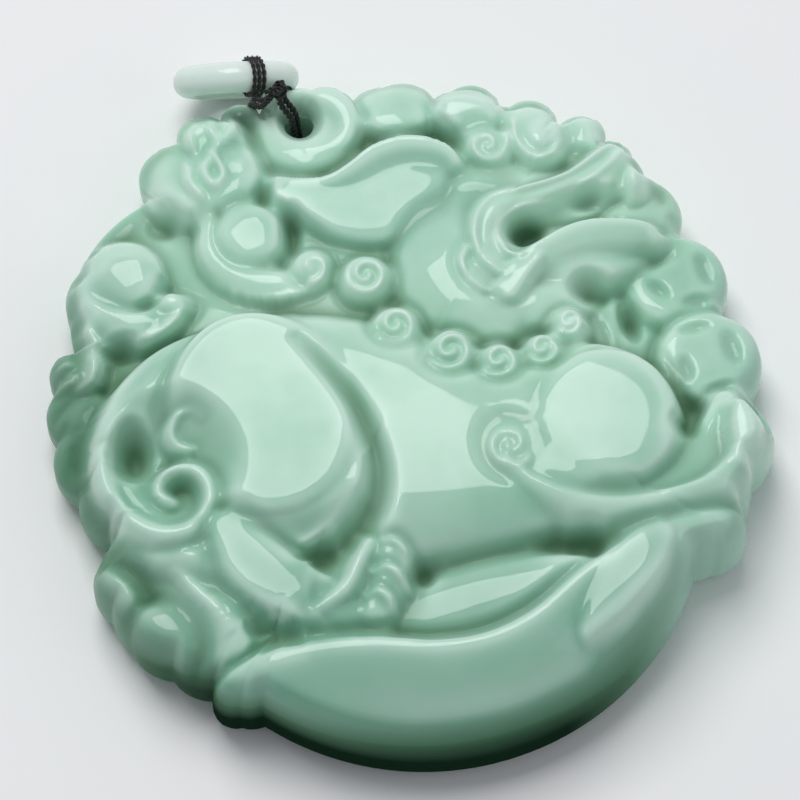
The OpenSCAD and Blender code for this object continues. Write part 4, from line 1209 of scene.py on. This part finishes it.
    def knot(self) -> None:
        """Adds the knot: wraps round the runs beside the ring, and two short ends."""
        middle, after = self.loop_points()[:2]
        axis = (after - middle) / np.linalg.norm(after - middle)
        first = np.cross(axis, self.aside)
        first /= np.linalg.norm(first)
        second = np.cross(axis, first)
        wide, high, wave = self.wrap_shape
        for k, (along, radius) in enumerate(self.wraps):
            a = np.radians(np.arange(0, 360, self.wrap_step))
            wrap = middle + along * axis + radius * (np.cos(a)[:, None] * first * wide
                                                     + np.sin(a)[:, None] * second * high)
            self.twisted(wrap + (wave * np.sin(a + k))[:, None] * axis, True, self.ring_width)
        for end in self.ends:
            tip = middle + RING.at(*end) - RING.at(0, 0, 0)
            bend = (middle + tip) / 2 + np.array([0, 0, self.end_rise])
            self.twisted(smooth_line([middle, bend, tip], LINE_STEPS), False, self.ring_width)


@dataclass
class Studio:
    """Table, lights and camera, set as in the photograph."""

    elevation: float = 67.0
    azimuth: float = -18.0
    distance: float = 420.0
    mm_per_pixel: float = 0.08
    picture: int = 800
    target: Place = (-0.3, -1.4, 6.0)
    target_pixel: tuple[float, float] = (410.0, 418.0)
    sensor: float = 36.0
    half_table: float = 1.5
    # Soft rectangular lights. Columns: name, way to it, its distance, width and height in metres, watts
    softboxes: tuple = (("window", (-0.05, 0.42, 0.9), 0.8, (0.42, 0.5), 3.7),
                        ("fill", (0.8, -0.6, 0.9), 1.0, (0.5, 0.5), 0.5))
    surroundings: tuple[float, ...] = (0.9, 0.95, 1.0, 1.0)
    surroundings_level: float = 0.33

    def camera(self) -> None:
        """Makes the camera."""
        a, e = math.radians(self.azimuth), math.radians(self.elevation)
        back = Vector((math.sin(a) * math.cos(e), -math.cos(a) * math.cos(e), math.sin(e)))
        data = bpy.data.cameras.new("camera")
        data.sensor_width = self.sensor
        data.lens = self.sensor * self.distance / (self.mm_per_pixel * self.picture)
        data.shift_x = (self.picture / 2 - self.target_pixel[0]) / self.picture
        data.shift_y = (self.target_pixel[1] - self.picture / 2) / self.picture
        data.clip_start, data.clip_end = 0.01, 10.0
        camera = bpy.data.objects.new("camera", data)
        bpy.context.scene.collection.objects.link(camera)
        camera.location = (Vector(self.target) + back * self.distance) * MM
        camera.rotation_euler = (-back).to_track_quat("-Z", "Y").to_euler()
        bpy.context.scene.camera = camera

    def lights(self) -> None:
        """Adds the soft lights."""
        for name, way, far, size, watts in self.softboxes:
            data = bpy.data.lights.new(name, "AREA")
            data.shape = "RECTANGLE"
            data.size, data.size_y = size
            data.energy = watts
            light = bpy.data.objects.new(name, data)
            bpy.context.scene.collection.objects.link(light)
            toward = Vector(way).normalized()
            light.location = toward * far
            light.rotation_euler = (-toward).to_track_quat("-Z", "Y").to_euler()

    def build(self) -> None:
        """Sets the table, the lights, the surroundings and the camera."""
        half = self.half_table
        corners = np.array([[-half, -half, 0], [half, -half, 0], [half, half, 0], [-half, half, 0]])
        table = new_piece("table", corners, [[0, 1, 2, 3]], Finish.FLOOR)
        self.lights()
        world = bpy.data.worlds.new("surroundings")
        world.use_nodes = True
        background = world.node_tree.nodes["Background"]
        background.inputs[0].default_value = self.surroundings
        background.inputs[1].default_value = self.surroundings_level
        scene = bpy.context.scene
        scene.world = world
        scene.view_settings.view_transform = "Standard"
        self.camera()


def main() -> None:
    """Builds the studio and the three pieces."""
    logging.basicConfig(level=logging.INFO, format="%(message)s")
    Studio().build()
    for maker in (CarvedStone(), BailRing(), TiedThread()):
        piece = maker.build()
        LOG.info("made %s", piece.name)


if __name__ == "__main__":
    main()
